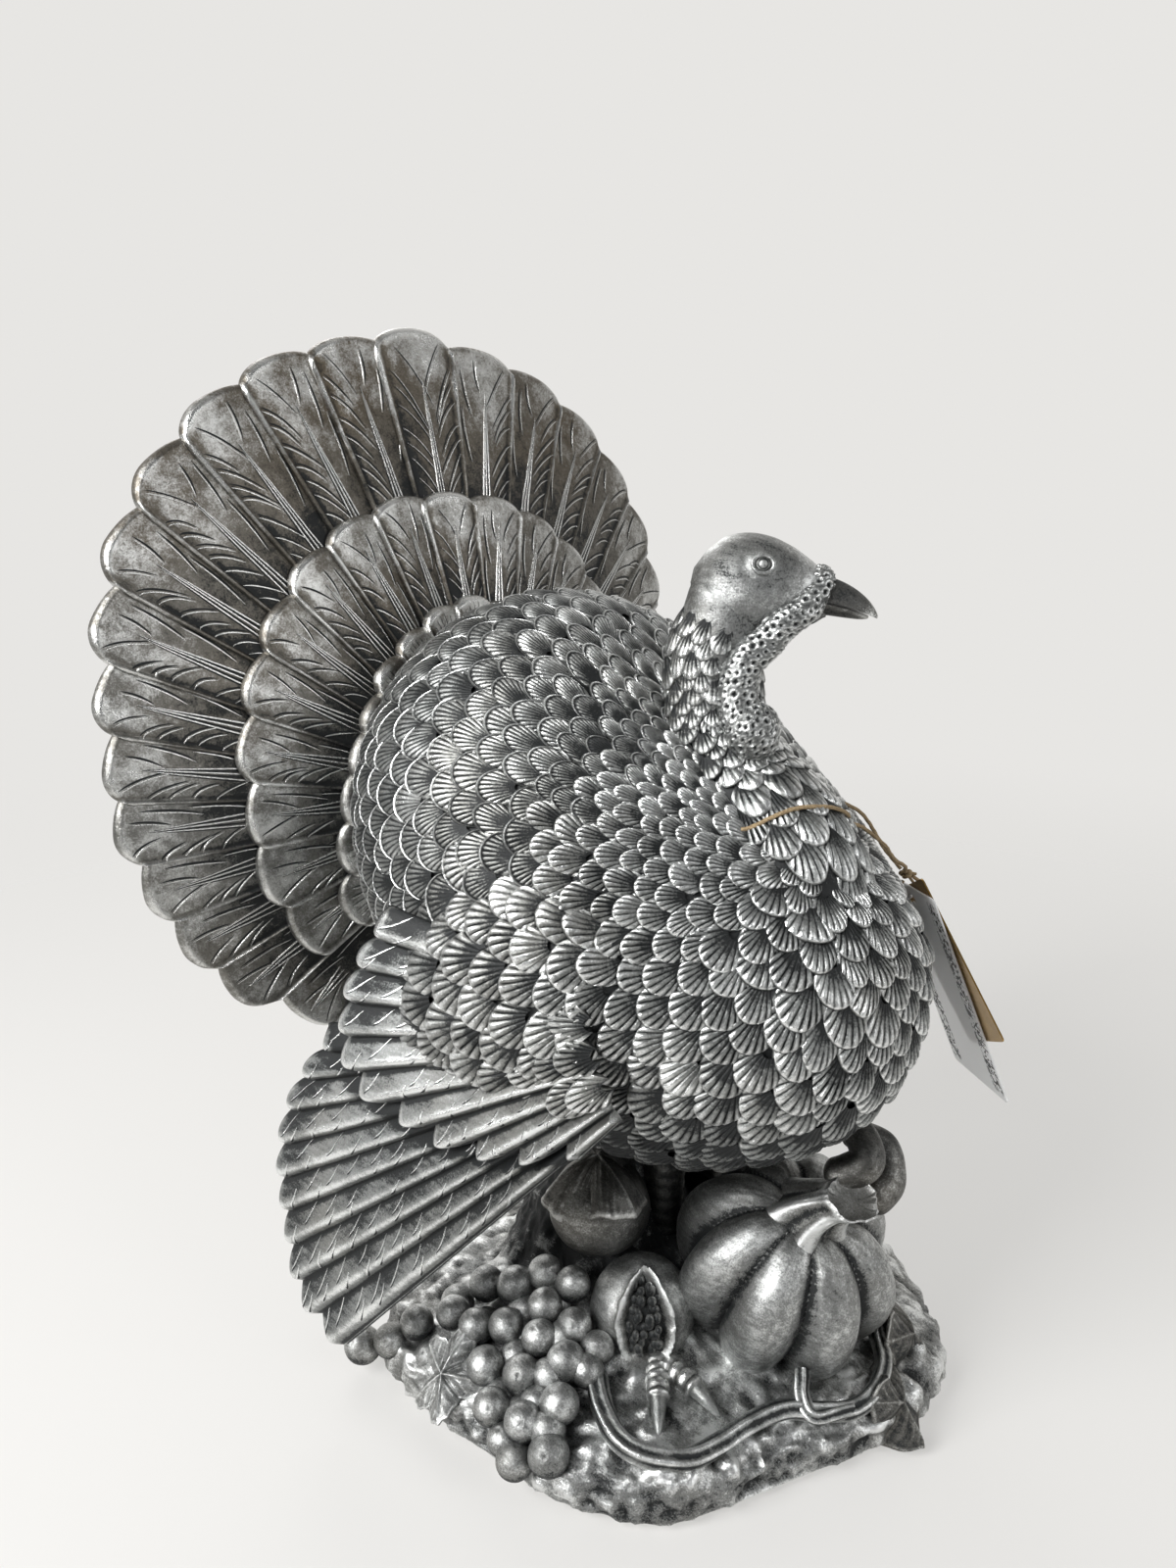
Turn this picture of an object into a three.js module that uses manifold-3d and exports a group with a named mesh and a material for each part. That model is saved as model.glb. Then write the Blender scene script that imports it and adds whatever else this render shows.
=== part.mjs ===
// Thanksgiving turkey figure: a displaying turkey in antiqued silver resin, cast in sections and
// bonded together on a rock base heaped with fruit, with a twine of hang tags round its neck.
// Millimetres, +Z up. The turkey faces -Y, its left side is +X, and the figure is symmetric about X = 0
// but for its base, its fruit, its turned head and its tags.
import * as THREE from "three";
import { mergeVertices } from "three/addons/utils/BufferGeometryUtils.js";
import Module from "manifold-3d";

const wasm = await Module();
wasm.setup();

const V = (x, y, z) => new THREE.Vector3(x, y, z);
const TURN = 2 * Math.PI;
const rad = THREE.MathUtils.degToRad;
const RIGHT_SIDE = -1;
const LEFT_SIDE = 1;

// Fits
const seat_gap = 0.3;
const cut_overrun = 2;
const merge_reach = 1e-4;

// Torso
const body_length = 240;
const body_height = 202;
const body_width = 190;
const belly_height = 106;
const body_front = -106;
const body_middle_shares = [0, 0.425, 0.446];
// Shares of the length from the breast, then of the height for the middle and the half height, and of
// the half width.
const body_shares = [
  [0, 0.32, 0.02, 0.02],
  [0.012, 0.325, 0.11, 0.24],
  [0.05, 0.325, 0.19, 0.43],
  [0.11, 0.325, 0.256, 0.58],
  [0.21, 0.338, 0.33, 0.77],
  [0.32, 0.368, 0.392, 0.91],
  [0.44, 0.42, 0.445, 1.0],
  [0.56, 0.48, 0.48, 1.0],
  [0.68, 0.515, 0.475, 0.95],
  [0.78, 0.535, 0.43, 0.86],
  [0.86, 0.545, 0.37, 0.745],
  [0.93, 0.545, 0.28, 0.58],
  [0.98, 0.545, 0.15, 0.32],
  [1, 0.545, 0.02, 0.02],
];
// The plumage lies in rows round the neck's root, and each row's free edge points away from it.
const plumage_lean = 50;
const plumage_rows = 18;
const plumage_scallops = 24;
const plumage_step = 1.6;
const plumage_edge_share = 0.16;
const scallop_share = 0.3;

// Neck
const neck_top_radius = 16.5;
const neck_root_radius = 31;
const neck_sides = 14;
// Places of the neck's centre, as X, Y, Z from the neck's top, and the share of the way from the top
// radius to the root radius.
const neck_rise = 100;
const neck_reach = 44;
const neck_shares = [
  [0.3, -0.09, 0.13, 0],
  [0.1, -0.03, 0.06, 0],
  [0, 0, 0, 0],
  [0, -0.02, -0.1, 0],
  [0, -0.04, -0.2, 0.03],
  [0, -0.13, -0.32, 0.1],
  [0, -0.34, -0.45, 0.26],
  [0, -0.56, -0.55, 0.46],
  [0, -0.78, -0.71, 0.75],
  [0, -0.86, -0.93, 1],
];
const neck_top_shares = [0, 0.342, 0.901];
const neck_side_reach = 10;

// Head
const head_turn = 30;
// Place of the head's centre from the neck's top, in shares of its width, length and height.
const head_centre_shares = [0.167, -0.135, 0.671];
const head_length = 52;
const head_height = 38;
const head_width = 33;
const head_nod = 5;
const head_sides = 16;
// Share of the length behind and before the centre, with the shares of the half height and half width.
const head_shares = [
  [-0.35, 0, 0],
  [-0.33, 0.3, 0.32],
  [-0.26, 0.6, 0.62],
  [-0.15, 0.87, 0.9],
  [0, 0.99, 1],
  [0.16, 0.97, 0.98],
  [0.31, 0.82, 0.84],
  [0.43, 0.64, 0.62],
  [0.52, 0.49, 0.44],
  [0.58, 0.36, 0.32],
];
const eye_radius = 4.6;
const eye_side_share = 0.4;
const eye_forward = 8;
const eye_rise = 9.5;
const beak_root_forward = 27;
const beak_length = 21;
const beak_height = 13.5;
const beak_width = 13;
const beak_drop = 4.5;
const beak_rise = -1;
const upper_beak_height_share = 0.55;
const lower_beak_height_share = 0.35;
const lower_beak_length_share = 0.82;
const mouth_gap = 0.5;

// Wattle
const wattle_strip_radius = 5;
const wattle_bulb_radius = 9;
const wattle_shares = [0.7, 0.85, 0.95, 1, 1.1, 1.2, 1.3];
// Places of the strip's line from the head's centre, in shares of the head's length.
const wattle_route_shares = [
  [0.22, -0.52, 0.067],
  [0.087, -0.48, -0.087],
  [-0.03, -0.385, -0.2],
  [-0.106, -0.288, -0.337],
  [-0.2, -0.192, -0.47],
  [-0.24, -0.173, -0.663],
  [-0.24, -0.21, -0.817],
  [-0.22, -0.27, -0.933],
];

// Tail
const fan_apex_shares = [0, 0.848, 0.545];
const fan_slope = 0.25;
const outer_tail_radius = 197;
const middle_tail_radius = 129;
const inner_tail_radius = 84;
const back_tail_radius = 66;
const tail_blade = 2.8;
const tail_lift = 1.1;
const tail_rib = 1;
const tail_layer = tail_blade + tail_lift + seat_gap;
const tail_notch_share = 0.42;
const tail_foot_radius = 60;
const tail_foot_turn = 4;
const tail_foot_bands = 5;
const tenon_radius = 11;
const blade_draft = 0.12;
// Where a feather's columns lie across it, and the points along each column.
const wide_across_shares = [-1, -0.5, 0.1, 0.65, 1];
const middling_across_shares = [-1, -0.35, 0.4, 1];
const narrow_across_shares = [-1, 0.2, 1];
const long_along_shares = [0, 0.5, 0.94, 1];
const short_along_shares = [0, 0.9, 1];
// Tip angles in degrees from the top, with the tips' shares of the tier's radius.
const outer_tail_shares = [
  [0, 1],
  [12, 0.985],
  [22, 0.985],
  [32, 0.975],
  [42, 0.954],
  [51.5, 0.924],
  [61, 0.883],
  [70, 0.838],
  [79, 0.802],
  [88.5, 0.782],
  [98.5, 0.746],
  [109.5, 0.716],
  [121.5, 0.685],
  [137, 0.63],
];
const middle_tail_shares = [
  [0, 1],
  [13, 1.005],
  [25, 1],
  [36, 0.985],
  [48, 0.953],
  [60, 0.922],
  [73, 0.884],
  [87, 0.838],
  [102, 0.83],
  [119, 0.8],
];
const inner_tail_shares = [
  [0, 1.02],
  [14, 1],
  [27, 0.96],
  [40, 0.93],
  [54, 0.88],
  [68, 0.86],
  [84, 0.87],
  [101, 0.91],
  [119, 0.99],
];
const back_tail_shares = [
  [0, 1],
  [26, 0.98],
  [52, 0.95],
  [79, 0.9],
  [108, 0.88],
  [140, 0.9],
];

// Wings
const wing_root_shares = [0.785, 0.075, 0.416];
const wing_splay = 0.26;
const wing_lean = 0.08;
const wing_blade = 2.8;
const wing_lift = 1;
const wing_rib = 0.8;
const wing_layer = wing_blade + wing_lift + 2 * seat_gap;
const wing_notch_share = 0.6;
const primary_reach = 223;
const primary_start = 62;
const covert_reach = 146;
const covert_start = 46;
// Tip angles in degrees below the level line that runs to the rear, with shares of the reach.
const primary_shares = [
  [15.5, 0.71],
  [19, 0.77],
  [22.5, 0.825],
  [26.2, 0.87],
  [29.8, 0.905],
  [33.3, 0.93],
  [36.8, 0.955],
  [40.3, 0.985],
  [43.8, 1],
  [47.6, 0.99],
];
const covert_shares = [
  [12, 0.985],
  [17.3, 1],
  [22.6, 0.97],
  [27.9, 0.875],
  [33.2, 0.8],
  [38.5, 0.7],
  [43.8, 0.6],
  [49, 0.48],
];
const shoulder_shares = [0.87, 0.42, 0.356];
const shoulder_length = 98;
const shoulder_height = 76;
const shoulder_depth = 42;
const shoulder_slant = 24;
const shoulder_rows = 6;
const shoulder_scallops = 8;

// Base
const base_radius = 100;
// Share of the radius and of the height of each ring of the rock, up to the mound.
const rock_foot_share = 0.965;
const rock_rim_shares = [
  [0.995, 0.3],
  [0.985, 0.7],
  [0.93, 1],
];
const rock_crown_shares = [
  [0.8, 0.75],
  [0.6, 1],
];
const mound_shares = [1.45, 1.1, 1];
const rock_sides = 36;
const base_rim_height = 19;
const base_crown_height = 31;
const mound_height = 118;
const mound_radius = 27;
const mound_offset = 22;
const felt_thickness = 1;
const felt_inset = 6;
const rock_roughness = 1.6;
// Shares of the base radius, every 15 degrees from +X.
const base_shares = [
  1.04, 1.05, 1.07, 1.05, 1.0, 0.96, 0.94, 0.97, 1.03, 1.1, 1.13, 1.08, 1.03, 1.03, 1.07, 1.08, 1.03,
  1.02, 1.08, 1.16, 1.18, 1.13, 1.08, 1.05,
];

// Fruit
const pumpkin_shares = [0.095, -0.585, 1.75];
const pumpkin_radius = 43;
const pumpkin_height = 78;
const pumpkin_lobes = 8;
const pumpkin_groove = 5.5;
const pumpkin_dimple = 5;
const pumpkin_tilt = 28;
const pumpkin_tilt_heading = -115;
const stem_length = 27;
const stem_root_radius = 13;
const stem_tip_radius = 7;
const stem_bend = 9;
const stem_ribs = 5;
const stem_sink = 2;
const pomegranate_place_shares = [-0.36, -0.26, 1.24];
const pomegranate_radius = 20.3;
// Radius and height of the skin's outline, from its foot to its top.
const pomegranate_shares = [
  [0, -1],
  [0.4, -0.92],
  [0.75, -0.66],
  [0.97, -0.25],
  [0.99, 0.15],
  [0.86, 0.55],
  [0.6, 0.86],
  [0.25, 1.06],
  [0, 1.16],
];
// Half width, half depth and half height of the split, and how far it stands from the middle.
const split_shares = [0.4, 0.5, 0.76, 0.82];
const split_lift = 20;
const split_heading = -43;
const split_sink = 2.2;
const apple_place_shares = [-0.33, 0, 2.29];
const apple_radius = 20;
const apple_height = 36;
const apple_dimple = 4;
const grape_radius = 7.9;

// Grapes of the bunch, each touching the next: places on the base, in shares of its radius and crown height.
const grape_shares = [
  [-0.98, -0.39, 0.71],
  [-1.03, -0.27, 0.48],
  [-0.97, -0.25, 0.84],
  [-0.86, -0.32, 1],
  [-0.99, -0.1, 0.77],
  [-0.86, -0.12, 1],
  [-0.74, -0.23, 1.16],
  [-0.91, 0.03, 0.94],
  [-0.74, -0.09, 1.23],
  [-0.77, 0.07, 1.16],
  [-0.83, 0.18, 1.06],
  [-0.65, -0.02, 1.39],
  [-0.64, 0.16, 1.35],
  [-0.68, 0.29, 1.23],
  [-0.83, 0.32, 1],
  [-0.92, 0.44, 0.81],
  [-1, 0.51, 0.55],
  [-1.06, 0.62, 0.39],
  [-0.63, -0.16, 1.32],
  [-0.53, -0.05, 1.55],
  [-0.55, 0.08, 1.52],
];
const grape_stalk_radius = 3;
const grape_press_share = 0.9;
const grape_sides = 7;
const grape_rows = 5;

// Gourds, leaves and vine
const gourd_neck_radius = 7.6;
const gourd_tip_radius = 5.2;
const gourd_sides = 8;
// Places of the gourds' lines from the pumpkin's centre, in shares of its radius.
const lower_gourd_shares = [
  [-0.17, -0.5, 0.88],
  [0.15, -0.67, 0.83],
  [0.48, -0.73, 0.95],
  [0.59, -0.59, 1.16],
  [0.38, -0.31, 1.29],
];
const upper_gourd_shares = [
  [-0.54, -0.59, 1.16],
  [-0.17, -0.71, 1.14],
  [0.15, -0.71, 1.25],
  [0.27, -0.5, 1.43],
  [0.09, -0.22, 1.48],
];
const leaf_thickness = 2.2;
const leaf_lobe_share = 0.13;
const leaf_width_share = 0.86;
const leaf_fold_share = 0.05;
const leaf_edge_share = 0.55;
const leaf_steps = 6;
const vine_radius = 3.1;
const vine_taper_share = 0.25;
const vine_sides = 6;
const vine_steps = 24;
// Places of the vine's line on the base, in shares of its radius and crown height.
const vine_shares = [
  [-0.66, -0.3, 1.06],
  [-0.75, -0.43, 0.94],
  [-0.79, -0.59, 0.84],
  [-0.67, -0.75, 0.77],
  [-0.54, -0.79, 0.77],
  [-0.42, -0.81, 0.81],
  [-0.26, -0.87, 0.84],
  [-0.16, -0.96, 0.77],
  [-0.05, -1.03, 0.74],
  [0.08, -1.04, 0.77],
  [0.19, -1, 0.84],
  [0.29, -0.9, 0.94],
];

const apple_leaf_length = 46;
const grape_leaf_length = 36;
const near_curl_length = 36;
const far_curl_length = 30;
// Where each leaf's middle lies on the base, and how it is turned, in degrees, and cupped.
const apple_leaf = {
  place_shares: [-0.35, -0.01, 2.97],
  length: apple_leaf_length,
  lobes: 5,
  heading: 20,
  pitch: -12,
  roll: 6,
  cup_share: -0.16,
};
const grape_leaf = {
  place_shares: [-1, 0.17, 0.71],
  length: grape_leaf_length,
  lobes: 5,
  heading: 0,
  pitch: -48,
  roll: 0,
  cup_share: -0.1,
};
const curled_leaves = [
  {
    place_shares: [0.41, -0.99, 0.78],
    length: near_curl_length,
    lobes: 3,
    heading: -62,
    pitch: 52,
    roll: 0,
    cup_share: -0.16,
  },
  {
    place_shares: [0.14, -1.11, 0.55],
    length: far_curl_length,
    lobes: 3,
    heading: -80,
    pitch: 58,
    roll: 0,
    cup_share: -0.16,
  },
];

// Legs
const shank_radius = 7.5;
const shank_top_radius = 13;
const shank_sides = 12;
const right_leg_shares = [-0.04, -0.08];
const left_leg_shares = [0.26, -0.06];
const heel_shares = [-0.45, -0.42, 1.06];
const toe_radius = 4.7;
const toe_rings = 3;
const claw_length = 13;
// Places of the toes' tips on the base, in shares of its radius and crown height.
const toe_tip_shares = [
  [-0.67, -0.625, 0.8],
  [-0.457, -0.73, 0.83],
];

// Twine: a slack loop round the neck's root, tied in a knot, with a small loop that carries the tags.
const twine_diameter = 1.6;
const twine_sides = 8;
const twine_steps = 78;
const tag_loop_steps = 14;
const knot_radius = 2.6;
const knot_place = [69.3, -66.7, 201.2];
const twine_route = [
  [67.2, -67.7, 202.8],
  [62, -70, 206.5],
  [55.5, -68.5, 210],
  [50, -69, 214],
  [41.5, -71.5, 219.5],
  [33, -67.5, 227],
  [21, -69, 232],
  [12, -73, 238],
  [1, -73, 242.5],
  [-10.5, -68.5, 244],
  [-17, -65, 244],
  [-22, -57.5, 241],
  [-28.5, -50, 242.5],
  [-27.5, -45, 247],
  [-25, -39.5, 252.5],
  [-19.5, -27, 262.5],
  [-17.5, -19.5, 271],
  [-15.5, -14.5, 280],
  [-9, -8.5, 284],
  [0, -6, 285],
  [9, -8, 284],
  [15.5, -14.5, 280],
  [18, -20, 271],
  [19.5, -27, 262.5],
  [26.5, -38, 252.5],
  [33.5, -46, 244],
  [38.5, -48, 241.5],
  [42.5, -51, 236],
  [52.5, -56.5, 224.5],
  [60.5, -60, 212.5],
  [65.5, -62, 207.5],
  [68, -65, 203.1],
];
const tag_hole_route_index = 4;
const tag_loop_route = [
  [71.4, -68.3, 200.1],
  [74.2, -70.6, 197.2],
  [75, -71.9, 193.6],
  [73.8, -71.2, 191.6],
  [72, -70, 191],
  [70.2, -68.8, 190.3],
  [68.2, -67.2, 190.6],
  [67, -66.1, 193],
  [67, -65.9, 196],
  [68.3, -66.3, 198.5],
];

// Tags
const tag_thickness = 0.6;
const tag_gap = 0.5;
const tag_corner = 2;
const white_tag_length = 89;
const white_tag_width = 46;
const gold_tag_length = 66;
const gold_tag_width = 38;
const tag_hole_radius = 2;
const tag_hole_inset = 6;
// Which way the tags' length and width run, and how far the gold one is swung round.
const tag_down_shares = [0.242, -0.297, -0.923];
const tag_across_shares = [0.6, 0.79, -0.1];
const gold_tag_swing = -22;

// Finishes
const silver = { color: 0x8d8b87, roughness: 0.42, metalness: 0.85 };
const dark_silver = { color: 0x5b5a57, roughness: 0.5, metalness: 0.8 };
const rock_silver = { color: 0x6f6d69, roughness: 0.6, metalness: 0.75 };
const felt = { color: 0x23241f, roughness: 0.95, metalness: 0 };
const jute = { color: 0x9a7d55, roughness: 0.9, metalness: 0 };
const card = { color: 0xf0efec, roughness: 0.7, metalness: 0 };
const gold_card = { color: 0xa98a4d, roughness: 0.45, metalness: 0.6 };

const figure = new THREE.Group();

// A place on the torso, from shares of its half width, its length and its height.
function onBody([x, y, z]) {
  return V((x * body_width) / 2, body_front + y * body_length, belly_height + z * body_height);
}

// A place on the base, from shares of its radius and of its crown's height.
function onBase([x, y, z]) {
  return V(x * base_radius, y * base_radius, z * base_crown_height);
}

const body_middle = onBody(body_middle_shares);
const neck_top = onBody(neck_top_shares);
const fan_apex = onBody(fan_apex_shares);
const wing_root = onBody(wing_root_shares);
const head_centre = V(
  neck_top.x + head_centre_shares[0] * head_width,
  neck_top.y + head_centre_shares[1] * head_length,
  neck_top.z + head_centre_shares[2] * head_height,
);
const tag_hole_place = V(...tag_loop_route[tag_hole_route_index]);
const pumpkin_centre = onBase(pumpkin_shares);
const pomegranate_centre = onBase(pomegranate_place_shares);
const apple_centre = onBase(apple_place_shares);

// A closed surface through rings of points that run counter-clockwise seen from beyond the last ring.
// A ring of one point is a pole, and an open end gets a fan round its middle.
function lofted(rings) {
  const points = [];
  const faces = [];
  const starts = rings.map((ring) => {
    const start = points.length;
    points.push(...ring);
    return start;
  });
  for (let i = 0; i + 1 < rings.length; i += 1) {
    const sides = Math.max(rings[i].length, rings[i + 1].length);
    for (let j = 0; j < sides; j += 1) {
      const k = (j + 1) % sides;
      const a = starts[i] + (rings[i].length > 1 ? j : 0);
      const b = starts[i] + (rings[i].length > 1 ? k : 0);
      const c = starts[i + 1] + (rings[i + 1].length > 1 ? j : 0);
      const d = starts[i + 1] + (rings[i + 1].length > 1 ? k : 0);
      if (a !== b) faces.push(a, b, d);
      if (c !== d) faces.push(a, d, c);
    }
  }
  capRing(points, faces, rings[0], starts[0], false);
  capRing(points, faces, rings.at(-1), starts.at(-1), true);
  return indexed(points, faces);
}

function capRing(points, faces, ring, start, last) {
  if (ring.length < 2) return;
  const middle = ring.reduce((sum, p) => sum.add(p), V(0, 0, 0)).divideScalar(ring.length);
  const centre = points.push(middle) - 1;
  for (let j = 0; j < ring.length; j += 1) {
    const k = (j + 1) % ring.length;
    if (last) faces.push(start + j, start + k, centre);
    else faces.push(start + k, start + j, centre);
  }
}

function indexed(points, faces) {
  const geometry = new THREE.BufferGeometry();
  const flat = points.flatMap((p) => [p.x, p.y, p.z]);
  geometry.setAttribute("position", new THREE.Float32BufferAttribute(flat, 3));
  geometry.setIndex(faces);
  return geometry;
}

// A three.js geometry as a closed solid, and back.
function solidOf(geometry) {
  const bare = new THREE.BufferGeometry();
  bare.setAttribute("position", geometry.getAttribute("position").clone());
  if (geometry.index) bare.setIndex(geometry.index.clone());
  const merged = mergeVertices(bare, merge_reach);
  const solid = new wasm.Manifold(
    new wasm.Mesh({
      numProp: 3,
      vertProperties: new Float32Array(merged.attributes.position.array),
      triVerts: new Uint32Array(merged.index.array),
    }),
  );
  if (solid.volume() > 0) return solid;
  const flipped = new Uint32Array(merged.index.array);
  for (let i = 0; i < flipped.length; i += 3) [flipped[i + 1], flipped[i + 2]] = [flipped[i + 2], flipped[i + 1]];
  return new wasm.Manifold(
    new wasm.Mesh({
      numProp: 3,
      vertProperties: new Float32Array(merged.attributes.position.array),
      triVerts: flipped,
    }),
  );
}

function geometryOf(solid) {
  const mesh = solid.getMesh();
  const geometry = new THREE.BufferGeometry();
  geometry.setAttribute("position", new THREE.BufferAttribute(new Float32Array(mesh.vertProperties), 3));
  geometry.setIndex(new THREE.BufferAttribute(new Uint32Array(mesh.triVerts), 1));
  return geometry;
}

function fused(geometries) {
  return geometries.map(solidOf).reduce((sum, solid) => sum.add(solid));
}

function largest(solid) {
  return solid.decompose().reduce((best, part) => (part.volume() > best.volume() ? part : best));
}

// The same solid with its skin moved out along the normals of its points.
function swollen(solid, amount) {
  const geometry = geometryOf(solid);
  geometry.computeVertexNormals();
  const place = geometry.getAttribute("position");
  const normal = geometry.getAttribute("normal");
  const array = new Float32Array(place.count * 3);
  for (let i = 0; i < place.array.length; i += 1) array[i] = place.array[i] + normal.array[i] * amount;
  geometry.setAttribute("position", new THREE.BufferAttribute(array, 3));
  return solidOf(geometry);
}

// A piece cut to sit against its neighbours with the seat's gap.
function seated(solid, neighbours) {
  const clear = (left, other) => left.subtract(swollen(other, seat_gap)).subtract(other);
  return largest(neighbours.reduce(clear, solid));
}

const placed = {};
function add(name, solid, finish) {
  const material = new THREE.MeshStandardMaterial(finish);
  const mesh = new THREE.Mesh(geometryOf(solid), material);
  mesh.name = name;
  placed[name] = solid;
  figure.add(mesh);
  return solid;
}

function ellipsoid(centre, half, columns, rows) {
  const ball = new THREE.SphereGeometry(1, columns, rows);
  ball.scale(half.x, half.y, half.z).translate(centre.x, centre.y, centre.z);
  return ball;
}

// A round tube along points, with a radius at each.
function swept(route, radii, sides) {
  const curve = new THREE.CatmullRomCurve3(route);
  const rings = [];
  const steps = radii.length - 1;
  let across = V(0, 0, 1);
  for (let i = 0; i <= steps; i += 1) {
    const along = curve.getTangent(i / steps);
    across = across.addScaledVector(along, -across.dot(along)).normalize().clone();
    const other = along.clone().cross(across);
    const centre = curve.getPoint(i / steps);
    const ring = [];
    for (let j = 0; j < sides; j += 1) {
      const turn = (TURN * j) / sides;
      const out = across.clone().multiplyScalar(Math.cos(turn)).addScaledVector(other, Math.sin(turn));
      ring.push(centre.clone().addScaledVector(out, radii[i]));
    }
    rings.push(ring);
  }
  return lofted(rings);
}

// A smooth value between the rows of a table, at a place in its first column.
function between(rows, place, column) {
  let i = 0;
  while (i < rows.length - 2 && rows[i + 1][0] < place) i += 1;
  const t = (place - rows[i][0]) / (rows[i + 1][0] - rows[i][0]);
  const before = rows[Math.max(i - 1, 0)][column];
  const after = rows[Math.min(i + 2, rows.length - 1)][column];
  const [from, to] = [rows[i][column], rows[i + 1][column]];
  const bend = t * (1 - t);
  return from + (to - from) * t + bend * ((1 - t) * (from * 2 - before - to) + t * (to * 2 - from - after)) * 0.5;
}

// Torso: an egg of overlapping plumage rows, each a step with a scalloped edge.
function insideBody(point) {
  const along = (point.y - body_front) / body_length;
  if (along <= 0 || along >= 1) return false;
  const middle = belly_height + between(body_shares, along, 1) * body_height;
  const high = between(body_shares, along, 2) * body_height;
  const wide = (between(body_shares, along, 3) * body_width) / 2;
  return (point.x / wide) ** 2 + ((point.z - middle) / high) ** 2 < 1;
}

function bodyPoint(direction, proud) {
  let near = 0;
  let far = body_length;
  for (let i = 0; i < 24; i += 1) {
    const reach = (near + far) / 2;
    if (insideBody(body_middle.clone().addScaledVector(direction, reach))) near = reach;
    else far = reach;
  }
  return body_middle.clone().addScaledVector(direction, near + proud);
}

function plumageDirection(polar, azimuth) {
  const pole = V(0, -Math.sin(rad(plumage_lean)), Math.cos(rad(plumage_lean)));
  const side = V(1, 0, 0);
  const over = pole.clone().cross(side);
  const out = side.multiplyScalar(Math.cos(azimuth)).addScaledVector(over, Math.sin(azimuth));
  return pole.multiplyScalar(Math.cos(polar)).addScaledVector(out, Math.sin(polar));
}

// A closed shell of plumage rows round a pole, each a step whose edge runs in scallops.
function plumedShell({ rows, scallops, point }) {
  const rings = [[point(0, 0, 0)]];
  const row_turn = Math.PI / (rows + 1);
  const sides = scallops * 2;
  for (let row = 1; row <= rows; row += 1) {
    for (const proud of [plumage_step, 0]) {
      const ring = [];
      for (let j = 0; j < sides; j += 1) {
        const tip = (j + row) % 2 ? scallop_share : -scallop_share;
        const polar = row_turn * (row + tip + (proud ? 0 : plumage_edge_share));
        ring.push(point(polar, (-TURN * j) / sides, proud));
      }
      rings.push(ring);
    }
  }
  rings.push([point(Math.PI, 0, 0)]);
  return solidOf(lofted(rings));
}

function makeBody() {
  const shell = plumedShell({
    rows: plumage_rows,
    scallops: plumage_scallops,
    point: (polar, azimuth, proud) => bodyPoint(plumageDirection(polar, azimuth), proud),
  });
  const behind = fanCone(2 * tail_layer + tail_blade / 2 + tail_lift + tail_rib + seat_gap);
  return shell.subtract(behind).add(makeTenon());
}

// Everything behind the tail's cone, to cut the torso's rear to the tail's front.
function fanCone(height) {
  const reach = body_height;
  const rim = [];
  const back = [];
  const sides = 36;
  for (let j = 0; j < sides; j += 1) {
    const angle = (-TURN * j) / sides;
    rim.push(fanPoint(angle, reach, height));
    back.push(fanPoint(angle, reach, height).setY(body_front + 2 * body_length));
  }
  return solidOf(lofted([[fanPoint(0, 0, height)], rim, back]));
}

// The round tenon on the torso's rear that carries the tail's tiers.
function makeTenon() {
  const front = fan_apex.y - 3 * tail_layer - cut_overrun;
  const back = fan_apex.y + tail_blade / 2;
  const post = new THREE.CylinderGeometry(tenon_radius, tenon_radius, back - front, 20);
  return solidOf(post.translate(fan_apex.x, (front + back) / 2, fan_apex.z));
}

// Neck: a curved column that swells into the breast.
function neckPlace(share) {
  return V(
    neck_top.x + share[0] * neck_side_reach,
    neck_top.y + share[1] * neck_reach,
    neck_top.z + share[2] * neck_rise,
  );
}

function neckRadius(share) {
  return neck_top_radius + share[3] * (neck_root_radius - neck_top_radius);
}

function makeNeck() {
  return solidOf(swept(neck_shares.map(neckPlace), neck_shares.map(neckRadius), neck_sides));
}

// Head: its own frame looks along +Y before it is turned and nodded.
function headFrame(across, forward, up) {
  const nod = rad(-head_nod);
  const local = V(across, forward, up).applyAxisAngle(V(1, 0, 0), nod);
  return local.applyAxisAngle(V(0, 0, 1), Math.PI + rad(head_turn)).add(head_centre);
}

function headRing([along, high, wide]) {
  const ring = [];
  if (!high) return [headFrame(0, along * head_length, 0)];
  for (let j = 0; j < head_sides; j += 1) {
    const turn = (TURN * j) / head_sides;
    const x = (wide * head_width * Math.sin(turn)) / 2;
    ring.push(headFrame(x, along * head_length, (high * head_height * Math.cos(turn)) / 2));
  }
  return ring;
}

function makeHead() {
  return solidOf(lofted(head_shares.map(headRing)));
}

function makeEye(side) {
  const place = headFrame(side * head_width * eye_side_share, eye_forward, eye_rise);
  const ball = ellipsoid(place, V(eye_radius, eye_radius, eye_radius), 8, 6);
  return solidOf(ball);
}

// Beak: a half cone whose tip hooks down.
function beakHalf(side, length, height) {
  const rings = [];
  const steps = 6;
  for (let i = 0; i <= steps; i += 1) {
    const share = i / steps;
    const taper = Math.sqrt(1 - share ** 1.6 * 0.985);
    const drop = -beak_drop * share * share;
    const ring = [];
    for (let j = 0; j <= steps; j += 1) {
      const turn = (Math.PI * j) / steps;
      const x = -Math.cos(turn) * beak_width * 0.5 * taper;
      const z = beak_rise + drop + side * (mouth_gap / 2 + Math.sin(turn) * height * taper);
      ring.push(headFrame(x * side, beak_root_forward + share * length - height, z));
    }
    rings.push(ring);
  }
  return solidOf(lofted(rings));
}

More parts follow.
